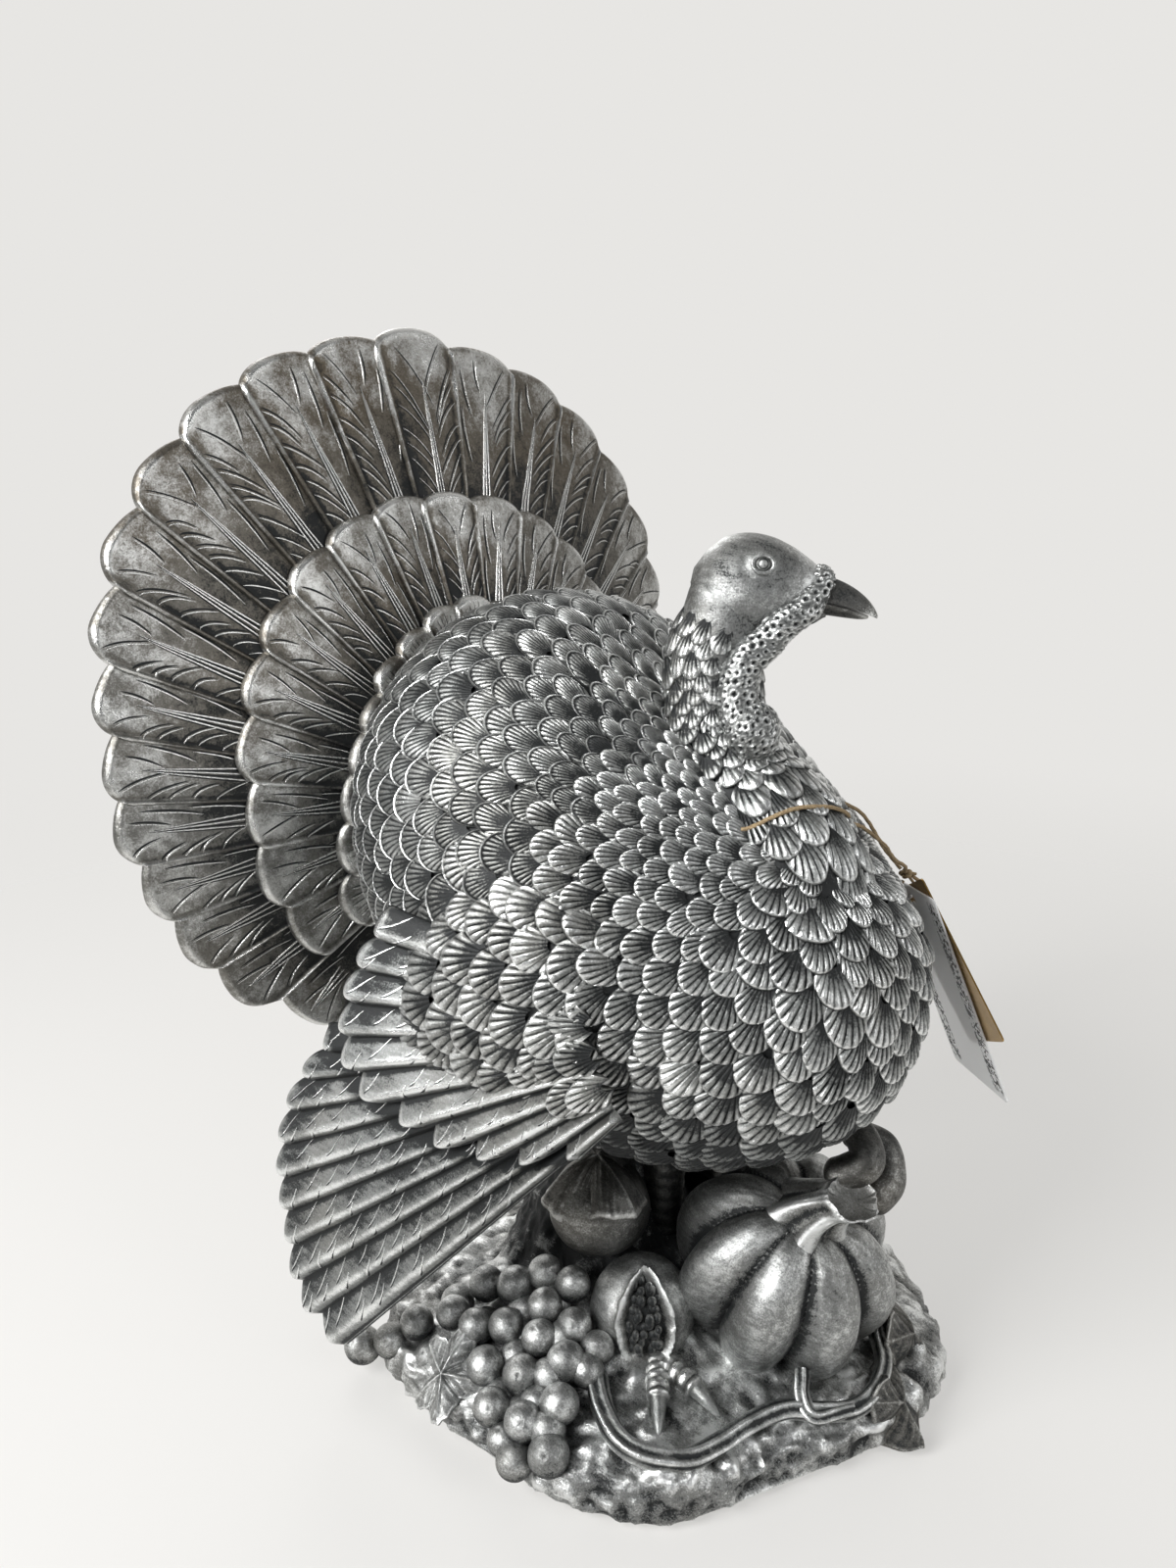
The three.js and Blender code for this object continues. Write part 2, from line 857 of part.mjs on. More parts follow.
// Wattle: a bumpy strip from the beak's root down the throat to a bulb.
function makeWattle() {
  const route = wattle_route_shares.map((place) => {
    return V(...place).multiplyScalar(head_length).add(head_centre);
  });
  const radii = wattle_shares.map((share) => share * wattle_strip_radius);
  const strip = swept(route, radii, 7);
  const half = V(wattle_bulb_radius, wattle_bulb_radius, wattle_bulb_radius);
  const bulb = ellipsoid(route.at(-1), half, 10, 8);
  return fused([strip, bulb]);
}

// A point of the tail: angle from the top, radius on the cone, and height before it.
function fanPoint(angle, radius, height) {
  return V(
    fan_apex.x + radius * Math.sin(angle),
    fan_apex.y + fan_slope * radius - height,
    fan_apex.z + radius * Math.cos(angle),
  );
}

// The feathers of a tier as one blade: columns across each feather, and points along each column.
// Each band is one feather as far as it shows, with the side that lies high over its neighbour.
function featherBlades({ bands, start, blade, lift, rib, place, closed, across_shares, along_shares }) {
  const rings = [];
  for (const band of bands) {
    for (const across of band.across_shares ?? across_shares) {
      const angle = band.middle + across * (band.half - rad(blade_draft));
      const notch = across < 0 ? band.notches[0] : band.notches[1];
      const reach = band.reach - notch * (1 - Math.sqrt(1 - across * across));
      const tilt = band.high * across + (band.high ? 0 : Math.abs(across) * 0.6);
      const ridge = Math.abs(across) < 0.36 ? rib : 0;
      const ring = along_shares.map((share) => {
        const rise = share < 1 ? 1 : 0.35;
        const up = blade / 2 + (lift * tilt + ridge) * Math.min(1, 0.25 + share * 2) * rise;
        return place(angle, start + share * (reach - start), share < 1 ? up : up - blade * 0.35);
      });
      ring.push(place(angle, reach, -blade / 2));
      ring.push(place(angle, start, -blade / 2));
      rings.push(ring);
    }
  }
  return closed ? loftedRound(rings) : lofted(rings);
}

function loftedRound(rings) {
  const points = rings.flat();
  const faces = [];
  const sides = rings[0].length;
  rings.forEach((ring, i) => {
    const next = (i + 1) % rings.length;
    for (let j = 0; j < sides; j += 1) {
      const k = (j + 1) % sides;
      const [a, b] = [i * sides + j, i * sides + k];
      const [c, d] = [next * sides + j, next * sides + k];
      faces.push(a, b, d, a, d, c);
    }
  });
  return indexed(points, faces);
}

// The bands of a tail tier: the middle feather lies on top, and each covers its outer neighbour.
function tailBands(shares, radius) {
  const one_side = shares.map(([angle, reach], i) => {
    const last = i === shares.length - 1;
    const before = i ? (shares[i - 1][0] + angle) / 2 : -shares[1][0] / 2;
    const after = last ? angle + (angle - shares[i - 1][0]) / 2 : (shares[i + 1][0] + angle) / 2;
    const middle = rad((before + after) / 2);
    const half = rad((after - before) / 2);
    const depth = half * reach * radius * tail_notch_share;
    const lower = [shares[i - 1] ?? shares[1], shares[i + 1] ?? shares[i]];
    const notches = lower.map((other) => Math.max(0, (reach - other[1]) * radius) + depth);
    return { middle, half, reach: reach * radius, notches, high: i ? 1 : 0 };
  });
  const mirrored = one_side.slice(1).map((band) => ({
    ...band,
    middle: -band.middle,
    notches: [...band.notches].reverse(),
    high: -1,
  }));
  const edge = one_side.at(-1).middle + one_side.at(-1).half + rad(tail_foot_turn);
  const half = (Math.PI - edge) / tail_foot_bands;
  const foot = Array.from({ length: tail_foot_bands }, (_, i) => {
    const middle = edge + half * (2 * i + 1);
    return { middle, half, reach: tail_foot_radius, notches: [0, 0], high: 0, across_shares: [-1, 1] };
  });
  return [...mirrored.reverse(), ...one_side, ...foot];
}

function featherTier({ shares, radius, height, face, across_shares, along_shares }) {
  const place = (angle, out, up) => fanPoint(angle * face, out, height + face * up);
  return solidOf(
    featherBlades({
      bands: tailBands(shares, radius),
      start: tenon_radius + seat_gap,
      blade: tail_blade,
      lift: tail_lift,
      rib: tail_rib,
      place,
      closed: true,
      across_shares,
      along_shares,
    }),
  );
}

// A point of a wing: length along its feathers' level line and down, and height off its plane.
function wingPoint(side, rearward, up, height) {
  const y = wing_root.y + rearward;
  const z = wing_root.z + up;
  const x = wing_root.x + wing_splay * rearward - wing_lean * up + height;
  return V(side * x, y, z);
}

function wingBands(shares, reach) {
  return shares.map(([angle, share], i) => {
    const before = i ? (shares[i - 1][0] + angle) / 2 : angle - (shares[1][0] - angle) / 2;
    const after = i < shares.length - 1 ? (shares[i + 1][0] + angle) / 2 : 2 * angle - before;
    const half = rad((after - before) / 2);
    const depth = half * share * reach * wing_notch_share;
    const beside = [shares[i - 1] ?? shares[i], shares[i + 1] ?? shares[i]];
    const notches = beside.map((other) => Math.max(0, (share - other[1]) * reach) + depth);
    return { middle: rad((before + after) / 2), half, reach: share * reach, notches, high: 1 };
  });
}

function wingTier(side, { shares, reach, start, height }) {
  const place = (angle, out, up) =>
    wingPoint(side, out * Math.cos(angle), -out * Math.sin(angle), height + up);
  return solidOf(
    featherBlades({
      bands: wingBands(shares, reach),
      start,
      blade: wing_blade,
      lift: wing_lift,
      rib: wing_rib,
      place,
      closed: false,
      across_shares: narrow_across_shares,
      along_shares: long_along_shares,
    }),
  );
}

function makeShoulder(side) {
  const half = V(shoulder_depth / 2, shoulder_length / 2, shoulder_height / 2);
  const centre = onBody(shoulder_shares);
  const point = (polar, azimuth, proud) => {
    const along = V(Math.sin(polar) * Math.cos(azimuth), -Math.cos(polar), Math.sin(polar) * Math.sin(azimuth));
    const reach = 1 / along.clone().divide(half).length() + proud;
    along.multiplyScalar(reach).applyAxisAngle(V(1, 0, 0), rad(-shoulder_slant));
    return along.applyAxisAngle(V(0, 0, 1), -Math.atan(wing_splay)).add(centre).multiply(V(side, 1, 1));
  };
  return plumedShell({ rows: shoulder_rows, scallops: shoulder_scallops, point });
}

// Base: a rock with an uneven outline, a low rim and a mound that carries the belly.
function baseRadius(angle) {
  const count = base_shares.length;
  const curve = new THREE.SplineCurve(
    [-1, 0, 1, 2].map((step) => {
      const i = Math.floor((angle / TURN) * count) + step;
      return new THREE.Vector2(i, base_shares[((i % count) + count) % count]);
    }),
  );
  const t = (angle / TURN) * count - Math.floor((angle / TURN) * count);
  return base_radius * curve.getPoint((1 + t) / 3).y;
}

function rough(angle, seed) {
  const wave = Math.sin(angle * 7 + seed * 2.1) + Math.sin(angle * 13 - seed * 1.7) * 0.6;
  return rock_roughness * wave;
}

function baseRing(share, height, seed, inset) {
  const ring = [];
  for (let j = 0; j < rock_sides; j += 1) {
    const angle = (TURN * j) / rock_sides;
    const radius = (baseRadius(angle) - inset) * share + (seed ? rough(angle, seed) : 0);
    const z = height + (seed > 1 ? rough(angle, seed + 3) * 0.5 : 0);
    ring.push(V(radius * Math.cos(angle), radius * Math.sin(angle), z));
  }
  return ring;
}

function moundRing(radius, height, seed) {
  const ring = [];
  for (let j = 0; j < rock_sides; j += 1) {
    const angle = (TURN * j) / rock_sides;
    const out = radius + rough(angle, seed) * 0.8;
    ring.push(V(out * Math.cos(angle), mound_offset + out * Math.sin(angle), height));
  }
  return ring;
}

function makeBase() {
  const floor = felt_thickness + seat_gap;
  const rim = rock_rim_shares.map(([share, rise], i) => {
    return baseRing(share, floor + base_rim_height * rise, i + 1, 0);
  });
  const crown = rock_crown_shares.map(([share, rise], i) => {
    return baseRing(share, floor + base_crown_height * rise, i + 4, 0);
  });
  const heights = [
    base_crown_height + base_rim_height,
    (base_crown_height + mound_height) / 2,
    mound_height + cut_overrun,
  ];
  const mound = mound_shares.map((share, i) => moundRing(mound_radius * share, heights[i], i + 6));
  return solidOf(lofted([baseRing(rock_foot_share, floor, 0, 0), ...rim, ...crown, ...mound]));
}

function makeFelt() {
  const low = baseRing(rock_foot_share, 0, 0, felt_inset);
  const high = baseRing(rock_foot_share, felt_thickness, 0, felt_inset);
  return solidOf(lofted([low, high]));
}

// Pumpkin: a squashed ball with lobes, whose poles dip.
function makePumpkin() {
  const columns = pumpkin_lobes * 6;
  const rows = 10;
  const rings = [];
  for (let i = 0; i <= rows; i += 1) {
    const polar = Math.PI * (1 - i / rows);
    const ring = [];
    const swell = Math.sin(polar);
    for (let j = 0; j < columns; j += 1) {
      const turn = (TURN * j) / columns;
      const groove = pumpkin_groove * (1 - Math.abs(Math.sin((turn * pumpkin_lobes) / 2))) ** 1.4;
      const radius = (pumpkin_radius - groove) * swell ** 0.8;
      const dip = pumpkin_dimple * Math.exp(-((radius / (pumpkin_radius * 0.3)) ** 2));
      const z = Math.cos(polar) * (pumpkin_height / 2) - Math.sign(Math.cos(polar)) * dip;
      ring.push(V(radius * Math.cos(turn), radius * Math.sin(turn), z));
    }
    rings.push(i % rows ? ring : [V(0, 0, ring[0].z)]);
  }
  return solidOf(inPumpkinFrame(lofted(rings)));
}

function inPumpkinFrame(geometry) {
  const heading = rad(pumpkin_tilt_heading);
  const axis = V(-Math.sin(heading), Math.cos(heading), 0);
  const turn = new THREE.Matrix4().makeRotationAxis(axis, rad(pumpkin_tilt));
  geometry.applyMatrix4(turn);
  return geometry.translate(pumpkin_centre.x, pumpkin_centre.y, pumpkin_centre.z);
}

function makePumpkinStem() {
  const rings = [];
  const steps = 5;
  const sides = stem_ribs * 3;
  for (let i = 0; i <= steps; i += 1) {
    const share = i / steps;
    const flare = (1 - share) ** 2.2;
    const radius = stem_tip_radius + (stem_root_radius - stem_tip_radius) * flare;
    const ring = [];
    for (let j = 0; j < sides; j += 1) {
      const turn = (TURN * j) / sides;
      const rib = 1 + 0.16 * Math.cos(turn * stem_ribs + share);
      const x = radius * rib * Math.cos(turn) + stem_bend * share * share;
      ring.push(V(x, radius * rib * Math.sin(turn), share * stem_length));
    }
    rings.push(ring);
  }
  const stem = lofted(rings).translate(0, 0, pumpkin_height / 2 - pumpkin_dimple - stem_sink);
  return solidOf(inPumpkinFrame(stem));
}

// Pomegranate: a ball split open down the side that faces the front corner, with its seeds inside.
function makePomegranateSkin() {
  const profile = pomegranate_shares.map(
    ([x, y]) => new THREE.Vector2(x * pomegranate_radius, y * pomegranate_radius),
  );
  const skin = new THREE.LatheGeometry(profile, 20).rotateX(Math.PI / 2);
  return solidOf(atPomegranate(skin));
}

function atPomegranate(geometry) {
  return geometry.translate(pomegranate_centre.x, pomegranate_centre.y, pomegranate_centre.z);
}

function splitShape(inset) {
  const r = pomegranate_radius;
  const half = V(r * split_shares[0] - inset, r * split_shares[1] - inset, r * split_shares[2] - inset);
  const almond = ellipsoid(V(0, 0, 0), half, 12, 10);
  almond.translate(0, -r * split_shares[3], 0).rotateX(rad(-split_lift)).rotateZ(rad(split_heading));
  return atPomegranate(almond);
}

function makeSeeds() {
  const skin = ellipsoid(V(0, 0, 0), V(1, 1, 1).multiplyScalar(pomegranate_radius - split_sink), 20, 14);
  return solidOf(splitShape(seat_gap)).intersect(solidOf(atPomegranate(skin)));
}

function makeApple() {
  const profile = [];
  const steps = 9;
  for (let i = 0; i <= steps; i += 1) {
    const polar = Math.PI * (1 - i / steps);
    const radius = apple_radius * Math.sin(polar) ** 0.85;
    const dip = apple_dimple * Math.exp(-((radius / (apple_radius * 0.3)) ** 2));
    const z = (Math.cos(polar) * apple_height) / 2 - Math.sign(Math.cos(polar)) * dip;
    profile.push(new THREE.Vector2(i % steps ? radius : 0, z));
  }
  const skin = new THREE.LatheGeometry(profile, 16).rotateX(Math.PI / 2);
  return solidOf(skin.translate(apple_centre.x, apple_centre.y, apple_centre.z));
}

function makeGrapes() {
  const centres = grape_shares.map(onBase);
  const half = V(grape_radius, grape_radius, grape_radius);
  const balls = centres.map((centre) => ellipsoid(centre, half, grape_sides, grape_rows));
  const stalks = centres.slice(1).map((centre, i) => {
    const earlier = centres.slice(0, i + 1);
    const nearest = earlier.reduce((a, b) => (b.distanceTo(centre) < a.distanceTo(centre) ? b : a));
    if (nearest.distanceTo(centre) < 2 * grape_radius * grape_press_share) return [];
    return [swept([centre, nearest], [grape_stalk_radius, grape_stalk_radius], 3)];
  });
  return fused([...balls, ...stalks.flat()]);
}

function makeGourd(route) {
  const points = route.map((place) => V(...place).multiplyScalar(pumpkin_radius).add(pumpkin_centre));
  const steps = 9;
  const radii = [];
  for (let i = 0; i <= steps; i += 1) {
    const share = i / steps;
    const end = Math.sqrt(Math.max(0.02, 1 - Math.max(0, (share - 0.86) / 0.14) ** 2));
    radii.push((gourd_neck_radius + (gourd_tip_radius - gourd_neck_radius) * share) * end);
  }
  return solidOf(swept(points, radii, gourd_sides));
}

// A lobed leaf: an outline of points and bays round its foot, folded along its veins and cupped.
function makeLeaf({ place_shares, length, lobes, heading, pitch, roll, cup_share }) {
  const steps = lobes * leaf_steps;
  const top = [[], []];
  const under = [[], []];
  for (let j = 0; j < steps; j += 1) {
    const turn = (TURN * j) / steps;
    const wave = Math.cos(turn * lobes);
    const reach = (length / 2) * (1 - leaf_lobe_share * (1 - wave));
    [leaf_edge_share, 1].forEach((share, k) => {
      const x = reach * share * Math.cos(turn);
      const y = reach * share * Math.sin(turn) * leaf_width_share;
      const z = length * (cup_share * share * share + leaf_fold_share * share * wave);
      const thick = leaf_thickness * (1 - share / 2);
      top[k].push(V(x, y, z + thick / 2));
      under[k].push(V(x, y, z - thick / 2));
    });
  }
  const rings = [[V(0, 0, -leaf_thickness / 2)], ...under, ...top.reverse(), [V(0, 0, leaf_thickness / 2)]];
  const leaf = lofted(rings);
  leaf.rotateX(rad(roll)).rotateY(rad(pitch)).rotateZ(rad(heading));
  const place = onBase(place_shares);
  return solidOf(leaf.translate(place.x, place.y, place.z));
}

function makeVine() {
  const radii = Array.from({ length: vine_steps + 1 }, (_, i) => {
    return vine_radius * (1 - (vine_taper_share * i) / vine_steps);
  });
  return solidOf(swept(vine_shares.map(onBase), radii, vine_sides));
}

// Twine: a round cord along its route, and the knot where its ends meet.
function makeCord(route, steps) {
  const section = new THREE.Shape();
  for (let j = 0; j < twine_sides; j += 1) {
    const turn = (TURN * j) / twine_sides;
    const corner = [(twine_diameter / 2) * Math.cos(turn), (twine_diameter / 2) * Math.sin(turn)];
    if (j) section.lineTo(...corner);
    else section.moveTo(...corner);
  }
  const extrudePath = new THREE.CatmullRomCurve3(route.map((place) => V(...place)));
  return solidOf(new THREE.ExtrudeGeometry(section, { steps, extrudePath, bevelEnabled: false }));
}

function makeKnot() {
  return solidOf(ellipsoid(V(...knot_place), V(knot_radius, knot_radius, knot_radius), 10, 7));
}

// A hang tag: a card with round corners and a string hole near its top edge.
function makeTag(length, width, outward, swing) {
  const outline = new THREE.Shape();
  const half = width / 2 - tag_corner;
  const top = tag_hole_inset - tag_corner;
  const low = tag_hole_inset - length + tag_corner;
  outline.absarc(half, top, tag_corner, 0, Math.PI / 2);
  outline.absarc(-half, top, tag_corner, Math.PI / 2, Math.PI);
  outline.absarc(-half, low, tag_corner, Math.PI, Math.PI * 1.5);
  outline.absarc(half, low, tag_corner, Math.PI * 1.5, TURN);
  outline.holes.push(new THREE.Path().absarc(0, 0, tag_hole_radius, 0, TURN, true));
  const slab = new THREE.ExtrudeGeometry(outline, {
    depth: tag_thickness,
    bevelEnabled: false,
    curveSegments: 3,
  });
  const down = V(...tag_down_shares).normalize();
  const across = V(...tag_across_shares);
  across.addScaledVector(down, -across.dot(down)).normalize();
  const up = down.clone().negate();
  const basis = new THREE.Matrix4().makeBasis(across, up, across.clone().cross(up));
  slab.rotateZ(rad(swing)).translate(0, 0, outward).applyMatrix4(basis);
  return solidOf(slab.translate(tag_hole_place.x, tag_hole_place.y, tag_hole_place.z));
}

// Leg and foot: a shank, and ringed toes that end in claws.
function makeShank([x, y]) {
  const foot = base_crown_height;
  const top = belly_height + shank_top_radius;
  const rings = [0, 0.25, 0.5, 0.75, 1].map((share) => {
    const radius = shank_radius + (shank_top_radius - shank_radius) * share ** 2;
    const ring = [];
    for (let j = 0; j < shank_sides; j += 1) {
      const turn = (TURN * j) / shank_sides;
      const out = V(radius * Math.cos(turn), radius * Math.sin(turn), foot + (top - foot) * share);
      ring.push(out.add(onBase([x, y, 0])));
    }
    return ring;
  });
  return solidOf(lofted(rings));
}

function makeToe(heel, tip) {
  const along = tip.clone().sub(heel);
  const claw_share = claw_length / along.length();
  const count = toe_rings * 2 + 1;
  const radii = [];
  for (let i = 0; i <= count; i += 1) {
    const share = i / count;
    const ringed = toe_radius * (i % 2 ? 1 : 0.82);
    const claw = toe_radius * 0.75 * Math.max(0.08, (1 - share) / claw_share);
    radii.push(share > 1 - claw_share ? Math.min(claw, ringed) : ringed);
  }
  const knuckle = heel.clone().lerp(tip, 0.55).add(V(0, 0, toe_radius * 0.9));
  return swept([heel, knuckle, tip], radii, 6);
}

function makeFoot(heel) {
  const ball = ellipsoid(heel, V(shank_radius, shank_radius, shank_radius), 8, 6);
  return fused([ball, ...toe_tip_shares.map((tip) => makeToe(heel, onBase(tip)))]);
}

// The pieces, each cut to its neighbours
const shoulders = { right: makeShoulder(RIGHT_SIDE), left: makeShoulder(LEFT_SIDE) };
const body = add("body", seated(makeBody(), Object.values(shoulders)), silver);
const head = add("head", makeHead(), silver);
const neck = add("neck", seated(makeNeck(), [body, head]), silver);
const upper_beak = beakHalf(1, beak_length, beak_height * upper_beak_height_share);
const lower_beak = beakHalf(-1, beak_length * lower_beak_length_share, beak_height * lower_beak_height_share);
add("upper_beak", seated(upper_beak, [head]), dark_silver);
add("lower_beak", seated(lower_beak, [head, placed.upper_beak]), dark_silver);
add("wattle", seated(makeWattle(), [head, neck, placed.upper_beak, placed.lower_beak]), silver);
add("right_eye", seated(makeEye(LEFT_SIDE), [head]), silver);
add("left_eye", seated(makeEye(RIGHT_SIDE), [head]), silver);

const outer_tail = featherTier({
  shares: outer_tail_shares,
  radius: outer_tail_radius,
  height: 0,
  face: 1,
  across_shares: wide_across_shares,
  along_shares: long_along_shares,
});
add("tail_feathers_outer", outer_tail, silver);
const middle_tail = featherTier({
  shares: middle_tail_shares,
  radius: middle_tail_radius,
  height: tail_layer,
  face: 1,
  across_shares: middling_across_shares,
  along_shares: short_along_shares,
});
add("tail_feathers_middle", middle_tail, silver);
const inner_tail = featherTier({
  shares: inner_tail_shares,
  radius: inner_tail_radius,
  height: 2 * tail_layer,
  face: 1,
  across_shares: narrow_across_shares,
  along_shares: short_along_shares,
});
add("tail_feathers_inner", inner_tail, silver);
const back_tail = featherTier({
  shares: back_tail_shares,
  radius: back_tail_radius,
  height: -tail_blade - seat_gap,
  face: -1,
  across_shares: narrow_across_shares,
  along_shares: short_along_shares,
});
add("tail_coverts_back", back_tail, silver);

for (const [side, word] of [[RIGHT_SIDE, "right"], [LEFT_SIDE, "left"]]) {
  const shoulder = add(`${word}_wing_shoulder`, shoulders[word], silver);
  const coverts = { shares: covert_shares, reach: covert_reach, start: covert_start, height: 0 };
  add(`${word}_wing_coverts`, seated(wingTier(side, coverts), [body, shoulder]), silver);
  const primaries = {
    shares: primary_shares,
    reach: primary_reach,
    start: primary_start,
    height: -wing_layer,
  };
  const behind = [body, shoulder, placed[`${word}_wing_coverts`]];
  add(`${word}_wing_primaries`, seated(wingTier(side, primaries), behind), silver);
}

const base = add("rock_base", seated(makeBase(), [body]), rock_silver);
add("felt_base", makeFelt(), felt);
const pumpkin = add("pumpkin", seated(makePumpkin(), [base, body]), silver);
add("pumpkin_stem", seated(makePumpkinStem(), [pumpkin, body]), silver);
const pomegranate_skin = makePomegranateSkin();
const split_skin = pomegranate_skin.subtract(solidOf(splitShape(0)));
const pomegranate = add("pomegranate", seated(split_skin, [base, pumpkin]), silver);
add("pomegranate_seeds", seated(makeSeeds(), [base, pumpkin]), silver);
const apple = add("apple", seated(makeApple(), [base, pumpkin, pomegranate, body]), dark_silver);
const right_foot = seated(makeFoot(onBase(heel_shares)), [base, pumpkin, pomegranate_skin]);
add("right_foot", right_foot, silver);
const right_leg = seated(makeShank(right_leg_shares), [base, body, right_foot, pumpkin, pomegranate, apple]);
add("right_leg", right_leg, silver);
add("left_leg", seated(makeShank(left_leg_shares), [base, body, pumpkin]), silver);
const grapes = add("grape_bunch", seated(makeGrapes(), [base, pomegranate, apple]), silver);
const around = [base, pumpkin, placed.pumpkin_stem, body, placed.left_leg];
const lower_gourd = add("lower_gourd", seated(makeGourd(lower_gourd_shares), around), dark_silver);
const upper_gourd = seated(makeGourd(upper_gourd_shares), [...around, lower_gourd]);
add("upper_gourd", upper_gourd, dark_silver);
add("vine", seated(makeVine(), [base, pumpkin, pomegranate, right_foot, grapes]), silver);

add("apple_leaf", seated(makeLeaf(apple_leaf), [apple, base, body, right_leg]), dark_silver);
add("grape_leaf", seated(makeLeaf(grape_leaf), [base, grapes, placed.right_wing_primaries]), silver);
curled_leaves.forEach((curl, i) => {
  const beside = [base, pumpkin, placed.vine, placed.curled_leaf_1].filter(Boolean);
  add(`curled_leaf_${i + 1}`, seated(makeLeaf(curl), beside), silver);
});

add("twine", makeCord(twine_route, twine_steps), jute);
add("tag_loop", makeCord(tag_loop_route, tag_loop_steps), jute);
add("twine_knot", makeKnot(), jute);
const white_tag = makeTag(white_tag_length, white_tag_width, -tag_thickness - tag_gap / 2, 0);
add("white_tag", white_tag, card);
const gold_tag = makeTag(gold_tag_length, gold_tag_width, tag_gap / 2, gold_tag_swing);
add("gold_tag", gold_tag, gold_card);

// The origin lies under the middle of everything but the twine and its tags.
const loose = ["twine", "tag_loop", "twine_knot", "white_tag", "gold_tag"];
const bounds = new THREE.Box3();
figure.children.filter((mesh) => !loose.includes(mesh.name)).forEach((mesh) => bounds.expandByObject(mesh));
const middle = bounds.getCenter(V(0, 0, 0));
figure.position.set(-middle.x, -middle.y, -bounds.min.z);

export default figure;
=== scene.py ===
# Thanksgiving turkey figure in antiqued silver resin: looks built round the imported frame.
# Lengths are written in the sculpture's own millimetres and turned into the frame's metres at the end.
import math

import bpy
import numpy as np
from mathutils import Matrix, Vector


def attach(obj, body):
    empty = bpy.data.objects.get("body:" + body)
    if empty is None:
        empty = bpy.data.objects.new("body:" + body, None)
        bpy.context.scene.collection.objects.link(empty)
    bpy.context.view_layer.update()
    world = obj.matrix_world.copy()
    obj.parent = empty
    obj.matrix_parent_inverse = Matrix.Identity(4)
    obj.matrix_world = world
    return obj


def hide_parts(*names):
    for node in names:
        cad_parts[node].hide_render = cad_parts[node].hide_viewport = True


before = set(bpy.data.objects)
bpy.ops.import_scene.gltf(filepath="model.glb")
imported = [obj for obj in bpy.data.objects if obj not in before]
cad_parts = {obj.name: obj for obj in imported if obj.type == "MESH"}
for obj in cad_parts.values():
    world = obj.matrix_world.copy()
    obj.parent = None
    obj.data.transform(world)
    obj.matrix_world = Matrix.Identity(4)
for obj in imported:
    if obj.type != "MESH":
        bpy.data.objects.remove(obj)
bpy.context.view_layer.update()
rng = np.random.default_rng(11)
# The frame's origin lies under the figure's middle, and this takes the sculpture's places there.
SHIFT = np.array([0.0386, -15.812, 0.0])
MM = 0.001
TURN = 2 * math.pi
rad = math.radians


def vec(*v):
    return np.array(v, float)


def unit(v):
    return v / np.maximum(np.linalg.norm(v, axis=-1, keepdims=True), 1e-9)


def metres(p):
    return (np.asarray(p, float) + SHIFT) * MM


def smooth(low, high, x):
    t = np.clip((x - low) / (high - low), 0, 1)
    return t * t * (3 - 2 * t)


def bell(x, middle, half):
    return np.exp(-(((x - middle) / half) ** 2))


def turned(p, axis, angle):
    axis = unit(np.asarray(axis, float))
    c, s = math.cos(angle), math.sin(angle)
    return p * c + np.cross(axis, p) * s + (p @ axis)[..., None] * axis * (1 - c)


def grid(*axes):
    return np.meshgrid(*axes, indexing="ij")


def round_turn(count):
    return np.linspace(0, TURN, count, endpoint=False)


def stacked(*parts):
    return np.stack(parts, -1)


def round_place(radius, turn, z):
    return stacked(radius * np.cos(turn), radius * np.sin(turn), z)


def row_dot(a, b):
    return np.einsum("ij,ij->i", a, b)[:, None]


def distance(p, place, size=1):
    return np.linalg.norm((p - place) / size, axis=-1)


# Smooth noise from -1 to 1 with a given wavelength in millimetres.
def noise(p, wave, seed=0):
    q = np.asarray(p, float) / wave + seed * 13.7
    cell = np.floor(q).astype(np.int64)
    f = q - cell
    f = f * f * (3 - 2 * f)
    total = 0
    for corner in range(8):
        bits = np.array([corner & 1, corner >> 1 & 1, corner >> 2 & 1])
        c = cell + bits
        n = (c[..., 0] * 73856093) ^ (c[..., 1] * 19349663) ^ (c[..., 2] * 83492791) ^ (seed * 7919)
        n = (n ^ (n >> 13)) * 1274126177 & 0x7FFFFFFF
        n = (n ^ (n >> 15)) * 2246822519 & 0x7FFFFFFF
        total = total + (n / 0x3FFFFFFF - 1) * np.prod(np.where(bits, f, 1 - f), axis=-1)
    return total


def rough(p, wave, octaves, seed=0):
    return sum(noise(p, wave / 2**i, seed + i) / 2**i for i in range(octaves))


# Smooth value between the rows of a table, at a place in its first column.
def between(rows, place, column):
    rows = np.asarray(rows, float)
    last = len(rows) - 1
    i = np.minimum(np.searchsorted(rows[1:, 0], place), last - 1)
    t = (place - rows[i, 0]) / (rows[i + 1, 0] - rows[i, 0])
    start, end = rows[i, column], rows[i + 1, column]
    before, after = rows[np.maximum(i - 1, 0), column], rows[np.minimum(i + 2, last), column]
    bend = (1 - t) * (start * 2 - before - end) + t * (end * 2 - start - after)
    return start + (end - start) * t + t * (1 - t) * bend * 0.5


